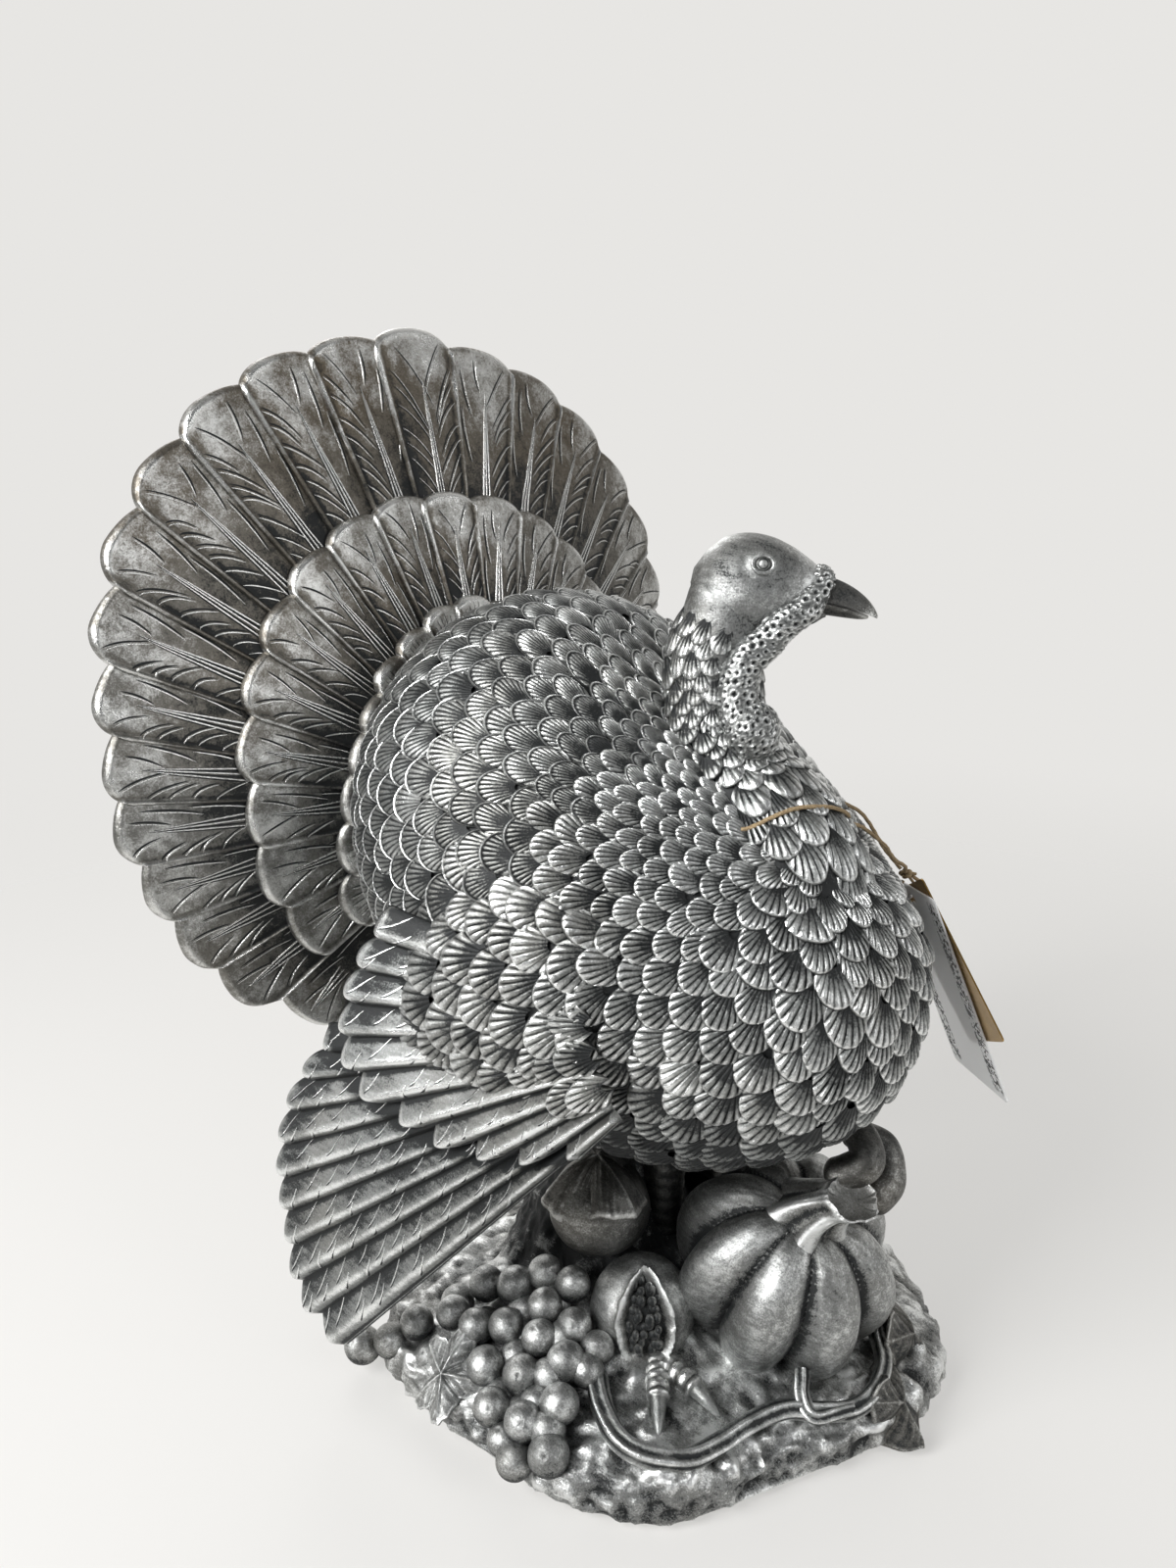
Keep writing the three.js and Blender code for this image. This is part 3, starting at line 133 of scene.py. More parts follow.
# A smooth line through points, sampled evenly: places and length.
def spline(points, count, columns=3):
    p = np.asarray(points, float)
    p = np.vstack([2 * p[0] - p[1], p, 2 * p[-1] - p[-2]])
    fine = []
    for i in range(1, len(p) - 2):
        steps = [max(np.linalg.norm(p[i + k, :3] - p[i + k - 1, :3]), 1e-6) ** 0.5 for k in (0, 1, 2)]
        knots = np.cumsum([0] + steps)
        t = np.linspace(knots[1], knots[2], 24, endpoint=False)[:, None]

        def mixed(low, high, before, after):
            gap = knots[high] - knots[low]
            return (knots[high] - t) / gap * before + (t - knots[low]) / gap * after

        a = [mixed(k, k + 1, p[i - 1 + k], p[i + k]) for k in (0, 1, 2)]
        b = [mixed(k, k + 2, a[k], a[k + 1]) for k in (0, 1)]
        fine.append(mixed(1, 2, *b))
    fine = np.vstack([*fine, p[-2]])
    length = np.concatenate([[0], np.cumsum(np.linalg.norm(np.diff(fine[:, :3], axis=0), axis=1))])
    even = np.linspace(0, length[-1], count)
    return np.stack([np.interp(even, length, fine[:, c]) for c in range(columns)], 1), length[-1]


# Direction of a line at each place, with two directions across it that don't twist.
def line_frames(line, start=(0, 0, 1)):
    along = unit(np.gradient(line, axis=0))
    across = np.empty_like(along)
    last = np.array(start, float)
    for i, a in enumerate(along):
        last = unit(last - a * (last @ a))
        across[i] = last
    return along, across, np.cross(along, across)


# Meshes are built from rings of points, closed round and capped at both ends.
class Mesh:
    def __init__(self):
        self.places, self.quads, self.tris, self.tones, self.count = [], [], [], [], 0

    def loft(self, rings, tone=0.5):
        rings = np.asarray(rings, float)
        rings = rings[None] if rings.ndim == 3 else rings
        n, r, c = rings.shape[:3]
        tone = np.broadcast_to(tone, (n, r, c))
        caps = np.stack([rings[:, 0].mean(1), rings[:, -1].mean(1)], 1)
        places = np.concatenate([rings.reshape(n, r * c, 3), caps], 1)
        tones = np.concatenate([tone.reshape(n, r * c), tone[:, [0, -1]].mean(2)], 1)
        i, j = grid(np.arange(r - 1), np.arange(c))
        k = (j + 1) % c
        quads = stacked(i * c + j, i * c + k, (i + 1) * c + k, (i + 1) * c + j).reshape(-1, 4)
        a = np.arange(c)
        b = (a + 1) % c
        top = (r - 1) * c
        low_cap = np.stack([b, a, a * 0 + r * c], 1)
        high_cap = np.stack([top + a, top + b, a * 0 + r * c + 1], 1)
        tris = np.vstack([low_cap, high_cap])
        first = places[0] - places[0].mean(0)
        halves = np.vstack([tris, quads[:, [0, 1, 2]], quads[:, [0, 2, 3]]])
        cones = np.cross(first[halves[:, 1]], first[halves[:, 2]])
        if np.einsum("ij,ij->i", first[halves[:, 0]], cones).sum() < 0:
            quads, tris = quads[:, ::-1], tris[:, ::-1]
        step = (np.arange(n) * (r * c + 2) + self.count)[:, None, None]
        self.quads.append((quads[None] + step).reshape(-1, 4))
        self.tris.append((tris[None] + step).reshape(-1, 3))
        self.places.append(places.reshape(-1, 3))
        self.tones.append(tones.reshape(-1))
        self.count += n * (r * c + 2)
        return self

    def piece(self, name, material, node, crease=55, slot=None):
        places = metres(np.vstack(self.places)).astype(np.float32)
        quads, tris = np.vstack(self.quads), np.vstack(self.tris)
        mesh = bpy.data.meshes.new(name)
        mesh.vertices.add(len(places))
        mesh.vertices.foreach_set("co", places.ravel())
        loops = np.concatenate([quads.ravel(), tris.ravel()]).astype(np.int32)
        starts = np.concatenate([np.arange(len(quads)) * 4, len(quads) * 4 + np.arange(len(tris)) * 3])
        mesh.loops.add(len(loops))
        mesh.loops.foreach_set("vertex_index", loops)
        mesh.polygons.add(len(starts))
        mesh.polygons.foreach_set("loop_start", starts.astype(np.int32))
        tone = mesh.attributes.new("wear_and_shade", "FLOAT", "POINT")
        tone.data.foreach_set("value", np.clip(np.concatenate(self.tones), 0, 1).astype(np.float32))
        mesh.update(calc_edges=True)
        mesh.shade_smooth()
        mesh.set_sharp_from_angle(angle=rad(crease))
        mesh.materials.append(material)
        made = bpy.data.objects.new(name, mesh)
        bpy.context.scene.collection.objects.link(made)
        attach(made, "figure")
        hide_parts(node)
        # Blender numbers a material whose name the frame already has, as in jute.001
        return made


# A tube along a line: radius by place along it and turn round it.
def tube(line, radius, sides, start=(0, 0, 1)):
    _, across, other = line_frames(line, start)
    turn = round_turn(sides)
    radius = radius(np.linspace(0, 1, len(line))[:, None], turn[None]) if callable(radius) else radius
    radius = np.broadcast_to(radius, (len(line), sides))
    out = across[:, None] * np.cos(turn)[:, None] + other[:, None] * np.sin(turn)[:, None]
    return line[:, None] + out * radius[..., None]


def ball(centre, half, rows=20, sides=28, axis=(0, 0, 1)):
    p, t = grid(np.linspace(0.05, math.pi - 0.05, rows), round_turn(sides))
    shape = stacked(np.sin(p) * np.cos(t), np.sin(p) * np.sin(t), np.cos(p))
    up = unit(np.asarray(axis, float))
    side = unit(np.cross(up, (0.31, 0.77, 0.2) if abs(up[2]) > 0.9 else (0, 0, 1)))
    basis = np.stack([side, np.cross(up, side), up])
    return shape, np.asarray(centre) + (shape * half) @ basis


# Camera at the photograph's angle
camera_data = bpy.data.cameras.new("camera")
camera_data.lens = 27
camera_data.sensor_width = 36
camera_data.clip_start = 0.01
camera = bpy.data.objects.new("camera", camera_data)
bpy.context.scene.collection.objects.link(camera)
camera.location = metres(vec(-326.7, -287.1, 350))
camera_pitch = rad(14.5)
level_share = math.cos(camera_pitch) * 0.5**0.5
look = Vector((level_share, level_share, -math.sin(camera_pitch)))
camera.rotation_mode = "QUATERNION"
camera.rotation_quaternion = look.to_track_quat("-Z", "Y")
bpy.context.scene.camera = camera


# Materials
class Nodes:
    def __init__(self, name):
        self.material = bpy.data.materials.new(name)
        self.material.use_nodes = True
        self.tree = self.material.node_tree
        self.shader = self.tree.nodes["Principled BSDF"]
        self.coords = self.tree.nodes.new("ShaderNodeTexCoord").outputs["Object"]

    def link(self, a, b):
        self.tree.links.new(a, b)

    def set(self, socket, value):
        if isinstance(value, bpy.types.NodeSocket):
            self.link(value, socket)
        else:
            socket.default_value = value

    def noise(self, scale, detail=3, rough=0.55, coords=None, distortion=0.0):
        n = self.tree.nodes.new("ShaderNodeTexNoise")
        n.inputs["Scale"].default_value = scale
        n.inputs["Detail"].default_value = detail
        n.inputs["Roughness"].default_value = rough
        n.inputs["Distortion"].default_value = distortion
        self.link(coords or self.coords, n.inputs["Vector"])
        return n.outputs["Fac"]

    def math(self, operation, a, b=0.0, clamp=False):
        n = self.tree.nodes.new("ShaderNodeMath")
        n.operation = operation
        n.use_clamp = clamp
        self.set(n.inputs[0], a)
        self.set(n.inputs[1], b)
        return n.outputs[0]

    def sway(self, value, size):
        return self.math("MULTIPLY", self.math("SUBTRACT", value, 0.5), size)

    def ramp(self, value, low, high, start=0.0, end=1.0):
        n = self.tree.nodes.new("ShaderNodeMapRange")
        n.interpolation_type = "SMOOTHSTEP"
        self.set(n.inputs["Value"], value)
        for key, x in (("From Min", low), ("From Max", high), ("To Min", start), ("To Max", end)):
            n.inputs[key].default_value = x
        return n.outputs["Result"]

    def mix(self, share, a, b):
        n = self.tree.nodes.new("ShaderNodeMix")
        n.data_type = "RGBA"
        self.set(n.inputs["Factor"], share)
        self.set(n.inputs[6], (*a, 1) if isinstance(a, tuple) else a)
        self.set(n.inputs[7], (*b, 1) if isinstance(b, tuple) else b)
        return n.outputs[2]

    def attribute(self, name):
        n = self.tree.nodes.new("ShaderNodeAttribute")
        n.attribute_name = name
        return n.outputs["Fac"]

    def parts(self, coords):
        n = self.tree.nodes.new("ShaderNodeSeparateXYZ")
        self.link(coords, n.inputs[0])
        return n.outputs

    def mapped(self, rotation=(0, 0, 0), scale=(1, 1, 1), place=(0, 0, 0), kind="POINT"):
        n = self.tree.nodes.new("ShaderNodeMapping")
        n.vector_type = kind
        n.inputs["Rotation"].default_value = rotation
        n.inputs["Scale"].default_value = scale
        n.inputs["Location"].default_value = place
        self.link(self.coords, n.inputs["Vector"])
        return n.outputs[0]

    def bump(self, height, strength, distance=0.0005):
        n = self.tree.nodes.new("ShaderNodeBump")
        n.inputs["Strength"].default_value = strength
        n.inputs["Distance"].default_value = distance
        self.link(height, n.inputs["Height"])
        return n.outputs[0]

    def surface(self, **values):
        for key, value in values.items():
            self.set(self.shader.inputs[key.replace("_", " ")], value)
        return self.material


WASH = (0.01, 0.0115, 0.012)


# Antiqued silver: metal paint rubbed off a dark wash, which stays in the recesses. The tone attribute read here
# says how far each place was rubbed, and in places it also holds painted shade: the lower body, undersides, the
# throat and the mound.
def antique(name, bright, middle, roughness, speckle, warm=(0.26, 0.225, 0.17), warmth=0.2, warm_height=0.0):
    smoothest, dullest = roughness
    m = Nodes(name)
    wear_and_shade = m.attribute("wear_and_shade")
    patches = m.noise(38, 4, 0.6)
    grain = m.noise(1500, 3, 0.7)
    streaks = m.noise(420, 4, 0.7, m.mapped((0.3, 0.5, 0.9), (1, 0.22, 1)))
    level = m.math("ADD", wear_and_shade, m.sway(patches, 0.3))
    level = m.math("ADD", level, m.sway(grain, speckle))
    level = m.math("ADD", level, m.sway(streaks, speckle))
    paint = m.ramp(level, 0.12, 0.44)
    polish = m.ramp(level, 0.44, 0.92)
    tint = m.ramp(m.noise(17, 3, 0.5), 0.4, 0.75, 0, warmth)
    if warm_height:
        height = m.parts(m.coords)[2]
        tint = m.math("ADD", tint, m.ramp(height, warm_height - 0.14, warm_height + 0.02, 0, 0.5), True)
    colour = m.mix(polish, m.mix(tint, middle, warm), bright)
    colour = m.mix(paint, WASH, colour)
    height = m.math("ADD", grain, m.math("MULTIPLY", streaks, 0.8))
    return m.surface(
        Base_Color=colour,
        Metallic=m.ramp(level, 0.08, 0.4, 0.3, 0.96),
        Roughness=m.math("ADD", m.ramp(level, 0.1, 0.95, dullest, smoothest), m.sway(patches, 0.2), True),
        Normal=m.bump(height, 0.5, 0.0004),
    )


# Each silver has its bright and middle colours, its least and most roughness and its speckle.
silver = antique("antique_silver", (0.88, 0.89, 0.88), (0.27, 0.278, 0.272), (0.26, 0.52), 0.6)
tail_silver = antique(
    "tail_silver", (0.7, 0.7, 0.68), (0.19, 0.188, 0.175), (0.26, 0.5), 0.6,
    warm=(0.13, 0.1, 0.065), warmth=0.3, warm_height=0.36,
)
satin = antique("satin_silver", (0.74, 0.75, 0.74), (0.25, 0.255, 0.25), (0.36, 0.56), 0.8)
# The darker silver stands for painted shade on the parts low under the body: apple, leaves, gourds and shanks. The
# beak takes it too.
dark_silver = antique("dark_silver", (0.5, 0.5, 0.48), (0.12, 0.12, 0.115), (0.32, 0.52), 0.8)
rock_silver = antique("rock_silver", (0.82, 0.83, 0.82), (0.24, 0.245, 0.24), (0.28, 0.56), 0.9)


# Jute, felt and card
def jute_material():
    m = Nodes("jute")
    fibres = m.noise(2600, 3, 0.7, m.mapped((0.2, 0.7, 0.4), (1, 0.2, 1)))
    colour = m.mix(m.ramp(fibres, 0.3, 0.7), (0.16, 0.10, 0.05), (0.5, 0.38, 0.22))
    roughness = m.ramp(fibres, 0, 1, 0.8, 0.95)
    return m.surface(Base_Color=colour, Roughness=roughness, Normal=m.bump(fibres, 0.6, 0.0003))


def felt_material():
    m = Nodes("felt")
    fuzz = m.noise(1800, 4, 0.8)
    colour = m.mix(fuzz, (0.012, 0.014, 0.011), (0.04, 0.045, 0.036))
    return m.surface(Base_Color=colour, Roughness=m.ramp(fuzz, 0, 1, 0.88, 1.0), Normal=m.bump(fuzz, 0.8, 0.0006))


# The tags hang from one hole. Their own frame runs across, up and out of the card.
TAG_HOLE = vec(72, -70, 191)
TAG_DOWN = unit(vec(0.242, -0.297, -0.923))
TAG_ACROSS = vec(0.6, 0.79, -0.1)
TAG_ACROSS = unit(TAG_ACROSS - TAG_DOWN * (TAG_ACROSS @ TAG_DOWN))
tag_basis = np.stack([TAG_ACROSS, -TAG_DOWN, np.cross(TAG_ACROSS, -TAG_DOWN)], 1)


def in_tag(m):
    turn = Matrix(tag_basis.tolist()).to_euler()
    return m.mapped(tuple(turn), (1, 1, 1), tuple(metres(TAG_HOLE)), "TEXTURE")


# White card with a plain leafy border down both long edges of its inner face.
def white_card_material():
    m = Nodes("white_card")
    local = in_tag(m)
    across, up, out = m.parts(local)
    paper = m.noise(900, 4, 0.7)
    edge = m.math("ABSOLUTE", across)
    band = m.math("MULTIPLY", m.ramp(edge, 0.0135, 0.0155), m.ramp(edge, 0.0225, 0.0215))
    ends = m.ramp(m.math("ABSOLUTE", m.math("ADD", up, 0.0385)), 0.0425, 0.04)
    foliage = m.ramp(m.noise(330, 1.5, 0.45, local, 1.6), 0.515, 0.54)
    winding = m.math("SUBTRACT", m.noise(120, 1, 0.4, local, 0.8), 0.5)
    stalks = m.ramp(m.math("ABSOLUTE", winding), 0.022, 0.012)
    ink = m.math("MULTIPLY", m.math("MAXIMUM", foliage, stalks), m.math("MULTIPLY", band, ends))
    inner = m.ramp(out, -0.00055, -0.0007)
    ink = m.math("MULTIPLY", ink, inner)
    colour = m.mix(ink, m.mix(paper, (0.9, 0.905, 0.91), (0.94, 0.945, 0.95)), (0.02, 0.02, 0.022))
    return m.surface(
        Base_Color=colour,
        Roughness=m.ramp(paper, 0, 1, 0.42, 0.6),
        Subsurface_Weight=0.8,
        Subsurface_Radius=(1, 1, 1),
        Subsurface_Scale=0.003,
        Normal=m.bump(paper, 0.15, 0.0001),
    )


def gold_card_material():
    m = Nodes("gold_card")
    local = in_tag(m)
    sheen = m.noise(60, 3, 0.6, local)
    grain = m.noise(1200, 3, 0.7, m.mapped((0, 0, 0.4), (1, 0.15, 1)))
    colour = m.mix(sheen, (0.17, 0.095, 0.02), (0.5, 0.31, 0.085))
    return m.surface(
        Base_Color=colour,
        Metallic=m.ramp(grain, 0.2, 0.8, 0.75, 0.9),
        Roughness=m.ramp(grain, 0, 1, 0.24, 0.42),
        Normal=m.bump(grain, 0.2, 0.0001),
    )


jute = jute_material()
felt = felt_material()
white_card = white_card_material()
gold_card = gold_card_material()

# Twine and the tags' loop
twine_route = [
    [67.2, -67.7, 202.8], [62, -70, 206.5], [55.5, -68.5, 210], [50, -69, 214], [41.5, -71.5, 219.5],
    [33, -67.5, 227], [21, -69, 232], [12, -73, 238], [1, -73, 242.5], [-10.5, -68.5, 243.5], [-17, -65, 241.5],
    [-22.5, -57.5, 236.5], [-28.5, -50, 236.5], [-28, -45, 243], [-25, -39.5, 252.5], [-19.5, -27, 262.5],
    [-17.5, -19.5, 271], [-15.5, -14.5, 280], [-9, -8.5, 284], [0, -6, 285], [9, -8, 284], [15.5, -14.5, 280],
    [18, -20, 271], [19.5, -27, 262.5], [26.5, -38, 252.5], [33.5, -46, 244], [38.5, -48, 241.5],
    [42.5, -51, 236], [52.5, -56.5, 224.5], [60.5, -60, 212.5], [65.5, -62, 207.5], [68, -65, 203.1],
]
tag_loop_route = [
    [71.4, -68.3, 200.1], [74.2, -70.6, 197.2], [75, -71.9, 193.6], [73.8, -71.2, 191.6], [72, -70, 191],
    [70.2, -68.8, 190.3], [68.2, -67.2, 190.6], [67, -66.1, 193], [67, -65.9, 196], [68.3, -66.3, 198.5],
]
knot_place = vec(69.3, -66.7, 201.2)
TWINE_RADIUS = 0.8
PLY_PITCH = 4.2
TWINE_FOLD = 7.0
TWINE_LIFT = 1.4


def twisted(line, length, sides=12):
    def radius(share, turn):
        return TWINE_RADIUS * (0.9 + 0.1 * np.cos(3 * turn + share * length / PLY_PITCH * TURN))

    return tube(line, radius, sides)


# The rear run is folded in under the plumes, and the front run lies on them.
twine_line = spline(twine_route, 420)[0]
in_fold = smooth(-56, -50, twine_line[:, 1]) * smooth(200, 236, twine_line[:, 2])
near_knot = smooth(20, 6, distance(twine_line, knot_place))
twine_line += unit(vec(0, -26, 0) - twine_line * vec(1, 1, 0)) * (TWINE_FOLD * in_fold)[:, None]
on_plumes = (1 - in_fold) * (1 - near_knot) * TWINE_LIFT
twine_line += unit(twine_line * vec(1, 1, 0) - vec(0, -48, 0) + vec(0, 0, 12)) * on_plumes[:, None]
twine_length = float(np.linalg.norm(np.diff(twine_line, axis=0), axis=1).sum())
twine = Mesh().loft(twisted(twine_line, twine_length), 0.5).piece("twine_cord", jute, "twine")
loop_line, loop_length = spline(tag_loop_route, 40)
tag_loop = Mesh().loft(twisted(loop_line, loop_length), 0.5).piece("tag_string", jute, "tag_loop")


def make_knot():
    turn = round_turn(60)
    reach = 1.35 + 0.75 * np.cos(3 * turn)
    wrap = np.stack([reach * np.cos(2 * turn), reach * np.sin(2 * turn), 1.05 * np.sin(3 * turn)], 1)
    line = knot_place + np.vstack([wrap, wrap[:1]])
    knot = Mesh().loft(tube(line, 0.78, 10), 0.5)
    for end in (vec(1.5, -3.5, -3.2), vec(3.2, -2.6, 0.8)):
        share = np.linspace(0, 1, 8)[:, None]
        knot.loft(tube(knot_place + share * end + share**2 * vec(0, 0, -1.2), 0.6, 8), 0.5)
    return knot.piece("tied_knot", jute, "twine_knot")


knot = make_knot()

# Torso surface
BODY_MIDDLE = vec(0, -4, 196.09)
BODY_FRONT, BODY_LENGTH, BODY_HEIGHT, BODY_WIDTH, BELLY = -106, 240, 202, 190, 106
body_shares = np.array([
    [0, 0.32, 0.02, 0.02], [0.012, 0.325, 0.11, 0.24], [0.05, 0.325, 0.19, 0.43], [0.11, 0.325, 0.256, 0.58],
    [0.21, 0.338, 0.33, 0.77], [0.32, 0.368, 0.392, 0.91], [0.44, 0.42, 0.445, 1.0], [0.56, 0.48, 0.48, 1.0],
    [0.68, 0.515, 0.475, 0.95], [0.78, 0.535, 0.43, 0.86], [0.86, 0.545, 0.37, 0.745], [0.93, 0.545, 0.28, 0.58],
    [0.98, 0.545, 0.15, 0.32], [1, 0.545, 0.02, 0.02],
])
FAN_APEX = vec(0, 97.52, 216.09)
FAN_SLOPE = 0.25
WING_SPLAY, WING_LEAN = 0.26, 0.08
SHOULDER = vec(82.65, -5.2, 177.9)
SHOULDER_HALF = vec(21, 49, 38)


def in_torso(p):
    along = (p[..., 1] - BODY_FRONT) / BODY_LENGTH
    a = np.clip(along, 0, 1)
    middle = BELLY + between(body_shares, a, 1) * BODY_HEIGHT
    high = between(body_shares, a, 2) * BODY_HEIGHT
    wide = between(body_shares, a, 3) * BODY_WIDTH / 2
    return (along > 0) & (along < 1) & ((p[..., 0] / wide) ** 2 + ((p[..., 2] - middle) / high) ** 2 < 1)


TAIL_CLEARANCE = 12.2


def before_tail(p, height=TAIL_CLEARANCE):
    reach = np.hypot(p[..., 0], p[..., 2] - FAN_APEX[2])
    return p[..., 1] < FAN_APEX[1] + FAN_SLOPE * reach - height


def out_to_edge(direction, inside, far):
    near = np.zeros(direction.shape[:-1])
    far = np.broadcast_to(far, near.shape).copy()
    for _ in range(17):
        half = (near + far) / 2
        hit = inside(BODY_MIDDLE + direction * half[..., None])
        near, far = np.where(hit, half, near), np.where(hit, far, half)
    return near


def shoulder_reach(direction):
    d = direction.copy()
    d[..., 0] = np.abs(d[..., 0])

    def local(v):
        return turned(turned(v, (0, 0, 1), math.atan(WING_SPLAY)), (1, 0, 0), rad(24)) / SHOULDER_HALF

    start, step = local(BODY_MIDDLE - SHOULDER), local(d)
    a, b, c = (step**2).sum(-1), (step * start).sum(-1), (start**2).sum() - 1
    root = b * b - a * c
    return np.where(root > 0, (-b + np.sqrt(np.maximum(root, 0))) / a, 0)


# The torso's reach is taken from a table of directions, because many points ask for it.
REACH_ROWS, REACH_COLUMNS = 361, 720
TORSO_FAR = 240
SHOULDER_BLEND = 5.0


def make_reach_table():
    polar, azimuth = grid(np.linspace(0, math.pi, REACH_ROWS), round_turn(REACH_COLUMNS))
    d = round_place(np.sin(polar), azimuth, np.cos(polar))
    a, b = out_to_edge(d, in_torso, TORSO_FAR), shoulder_reach(d)
    h = np.clip(0.5 + 0.5 * (a - b) / SHOULDER_BLEND, 0, 1)
    reach = a * h + b * (1 - h) + SHOULDER_BLEND * h * (1 - h)
    return out_to_edge(d, before_tail, reach)


reach_table = make_reach_table()


# The torso with its shoulders swelling out of it, cut behind to the tail's cone.
def torso_reach(direction):
    row = np.arccos(np.clip(direction[..., 2], -1, 1)) / math.pi * (REACH_ROWS - 1)
    column = np.arctan2(direction[..., 1], direction[..., 0]) % TURN / TURN * REACH_COLUMNS
    i, j = np.minimum(row.astype(int), REACH_ROWS - 2), column.astype(int)
    s, t = row - i, column - j
    j, k = j % REACH_COLUMNS, (j + 1) % REACH_COLUMNS
    near = reach_table[i, j] * (1 - t) + reach_table[i, k] * t
    far = reach_table[i + 1, j] * (1 - t) + reach_table[i + 1, k] * t
    return near * (1 - s) + far * s


def torso_point(direction):
    return BODY_MIDDLE + direction * torso_reach(direction)[..., None]


def pole_at(angle):
    return vec(0, -math.sin(angle), math.cos(angle))


POLE_LEAN = rad(60)
POLE = pole_at(POLE_LEAN)
OVER = vec(0, math.cos(POLE_LEAN), math.sin(POLE_LEAN))


def plumage_direction(polar, azimuth):
    out = np.cos(azimuth)[..., None] * vec(1, 0, 0) + np.sin(azimuth)[..., None] * OVER
    return np.cos(polar)[..., None] * POLE + np.sin(polar)[..., None] * out


# One plume: a scale whose ribs fan out of its hidden root to a curved rim. Its points run from the root to
# the rim along lines in each rib's groove and on its back.
class Plume:
    def __init__(self, ribs, rib_steps, shares, raised, carved, tones, groove_tone, slope, dome):
        inside = [i + s for i in range(ribs) for s in rib_steps] + [ribs]
        groove = [max(0, 1 - s / 0.34) for i in range(ribs) for s in rib_steps] + [1]
        turn = (np.array(inside) / ribs - 0.5) * rad(152)
        self.turn = np.concatenate([[-rad(102), -rad(86)], turn, [rad(86), rad(102)]])[:, None]
        self.groove = np.concatenate([[0, 0.2], np.minimum(groove, 1), [0.2, 0]])[:, None]
        self.share = np.array(shares)[None]
        self.raised, self.carved = np.array(raised), np.array(carved)
        self.tones, self.groove_tone = np.array(tones), np.array(groove_tone)
        self.slope, self.dome = slope, dome

    def place(self, mesh, spots, surface, lift=0.0, brighter=0.0):
        here, down, side, out, wide, long = spots
        n = len(here)

        def each(v):
            return np.reshape(v, (-1, 1, 1))

        half = each(wide * 0.58 * (1 + rng.normal(0, 0.07, n)))
        front = each(long * 1.08 * (1 + rng.normal(0, 0.08, n)))
        root = each(long * 1.2)
        turn = self.turn + each(rng.normal(0, rad(3), n)) * np.cos(self.turn)
        x = np.sin(turn) * self.share * half
        y = (np.cos(turn) * front + root) * self.share - root
        flat = here[:, None, None] + side[:, None, None] * x[..., None] + down[:, None, None] * y[..., None]
        middle = 1 - (np.sin(turn) * self.share) ** 2
        size = each(np.minimum(long, 8.0) / 7)
        carve = self.groove * self.carved * each(1 + rng.normal(0, 0.15, n))
        domed = self.slope * y + self.dome * half * middle
        rise = domed + (self.raised - carve) * size + each(lift)
        under = domed[..., -1:] - 2.3 * size
        tone = self.tones - self.groove * self.groove_tone + each(brighter) + each(rng.normal(0, 0.08, n))
        top = surface(flat) + out[:, None, None] * rise[..., None]
        low = surface(flat[:, :, -2:-1]) + out[:, None, None] * under[..., None]
        tone = np.concatenate([tone, np.zeros((n, len(self.turn), 1))], 2)
        mesh.loft(np.concatenate([top, low], 2), tone)


rim_shares = [0.3, 0.6, 0.74, 0.87, 0.93, 0.965, 1.0]
flank_plume = Plume(
    10, [0, 0.3, 0.65], rim_shares,
    [0, 0.3, 0.55, 0.42, -0.05, 0.38, -0.4], [0, 0.1, 0.42, 0.5, 0.15, 0, 0],
    [0, 0.24, 0.42, 0.46, 0.05, 1.0, 0.5], [0, 0.2, 0.5, 0.65, 0.1, 0, 0], 0.1, 0.14,
)
bright_plume = Plume(
    9, [0, 0.3, 0.65], rim_shares,
    [0, 0.3, 0.5, 0.42, 0.0, 0.32, -0.4], [0, 0.2, 0.5, 0.55, 0.25, 0, 0],
    [0, 0.42, 0.68, 0.74, 0.12, 1.0, 0.3], [0, 0.4, 0.8, 0.9, 0.2, 0, 0], 0.1, 0.14,
)
breast_plume = Plume(
    7, [0, 0.2, 0.5, 0.8], rim_shares,
    [0, 0.3, 0.55, 0.55, 0.3, 0.0, -0.9], [0.1, 0.4, 0.75, 0.9, 0.7, 0.4, 0.1],
    [0, 0.32, 0.6, 0.74, 0.78, 0.95, 0.1], [0, 0.2, 0.5, 0.66, 0.55, 0.35, 0.1], 0.14, 0.16,
)
neck_plume = Plume(
    5, [0, 0.3, 0.7], [0.3, 0.65, 0.82, 0.94, 1.0],
    [0, 0.1, 0.15, 0.1, -0.7], [0.2, 0.45, 0.5, 0.35, 0.1],
    [0, 0.4, 0.78, 0.95, 0.4], [0, 0.3, 0.45, 0.4, 0.1], 0.15, 0.2,
)

ROW_TURN = rad(4.9)
ROW_COUNTS = ((26, 22), (42, 32), (140, 43), (154, 32), (180, 22))
WIDER_BELOW = 0.28


# Plumes over the torso, in rows round the neck's root.
def torso_anchors():
    found = []
    row, polar = 0, rad(15)
    while polar < rad(168):
        count = next(n for limit, n in ROW_COUNTS if polar < rad(limit))
        step = TURN / count
        even = (np.arange(count) + 0.5 * (row % 2)) * TURN / count + rng.normal(0, 0.08, count) * TURN / count
        azimuth = even - WIDER_BELOW * np.sin(even) + rad(90)
        polars = polar + rng.normal(0, 0.09, count) * ROW_TURN
        found.append(stacked(polars, azimuth, step * (1 - WIDER_BELOW * np.cos(even))))
        polar += ROW_TURN
        row += 1
    return np.vstack(found)


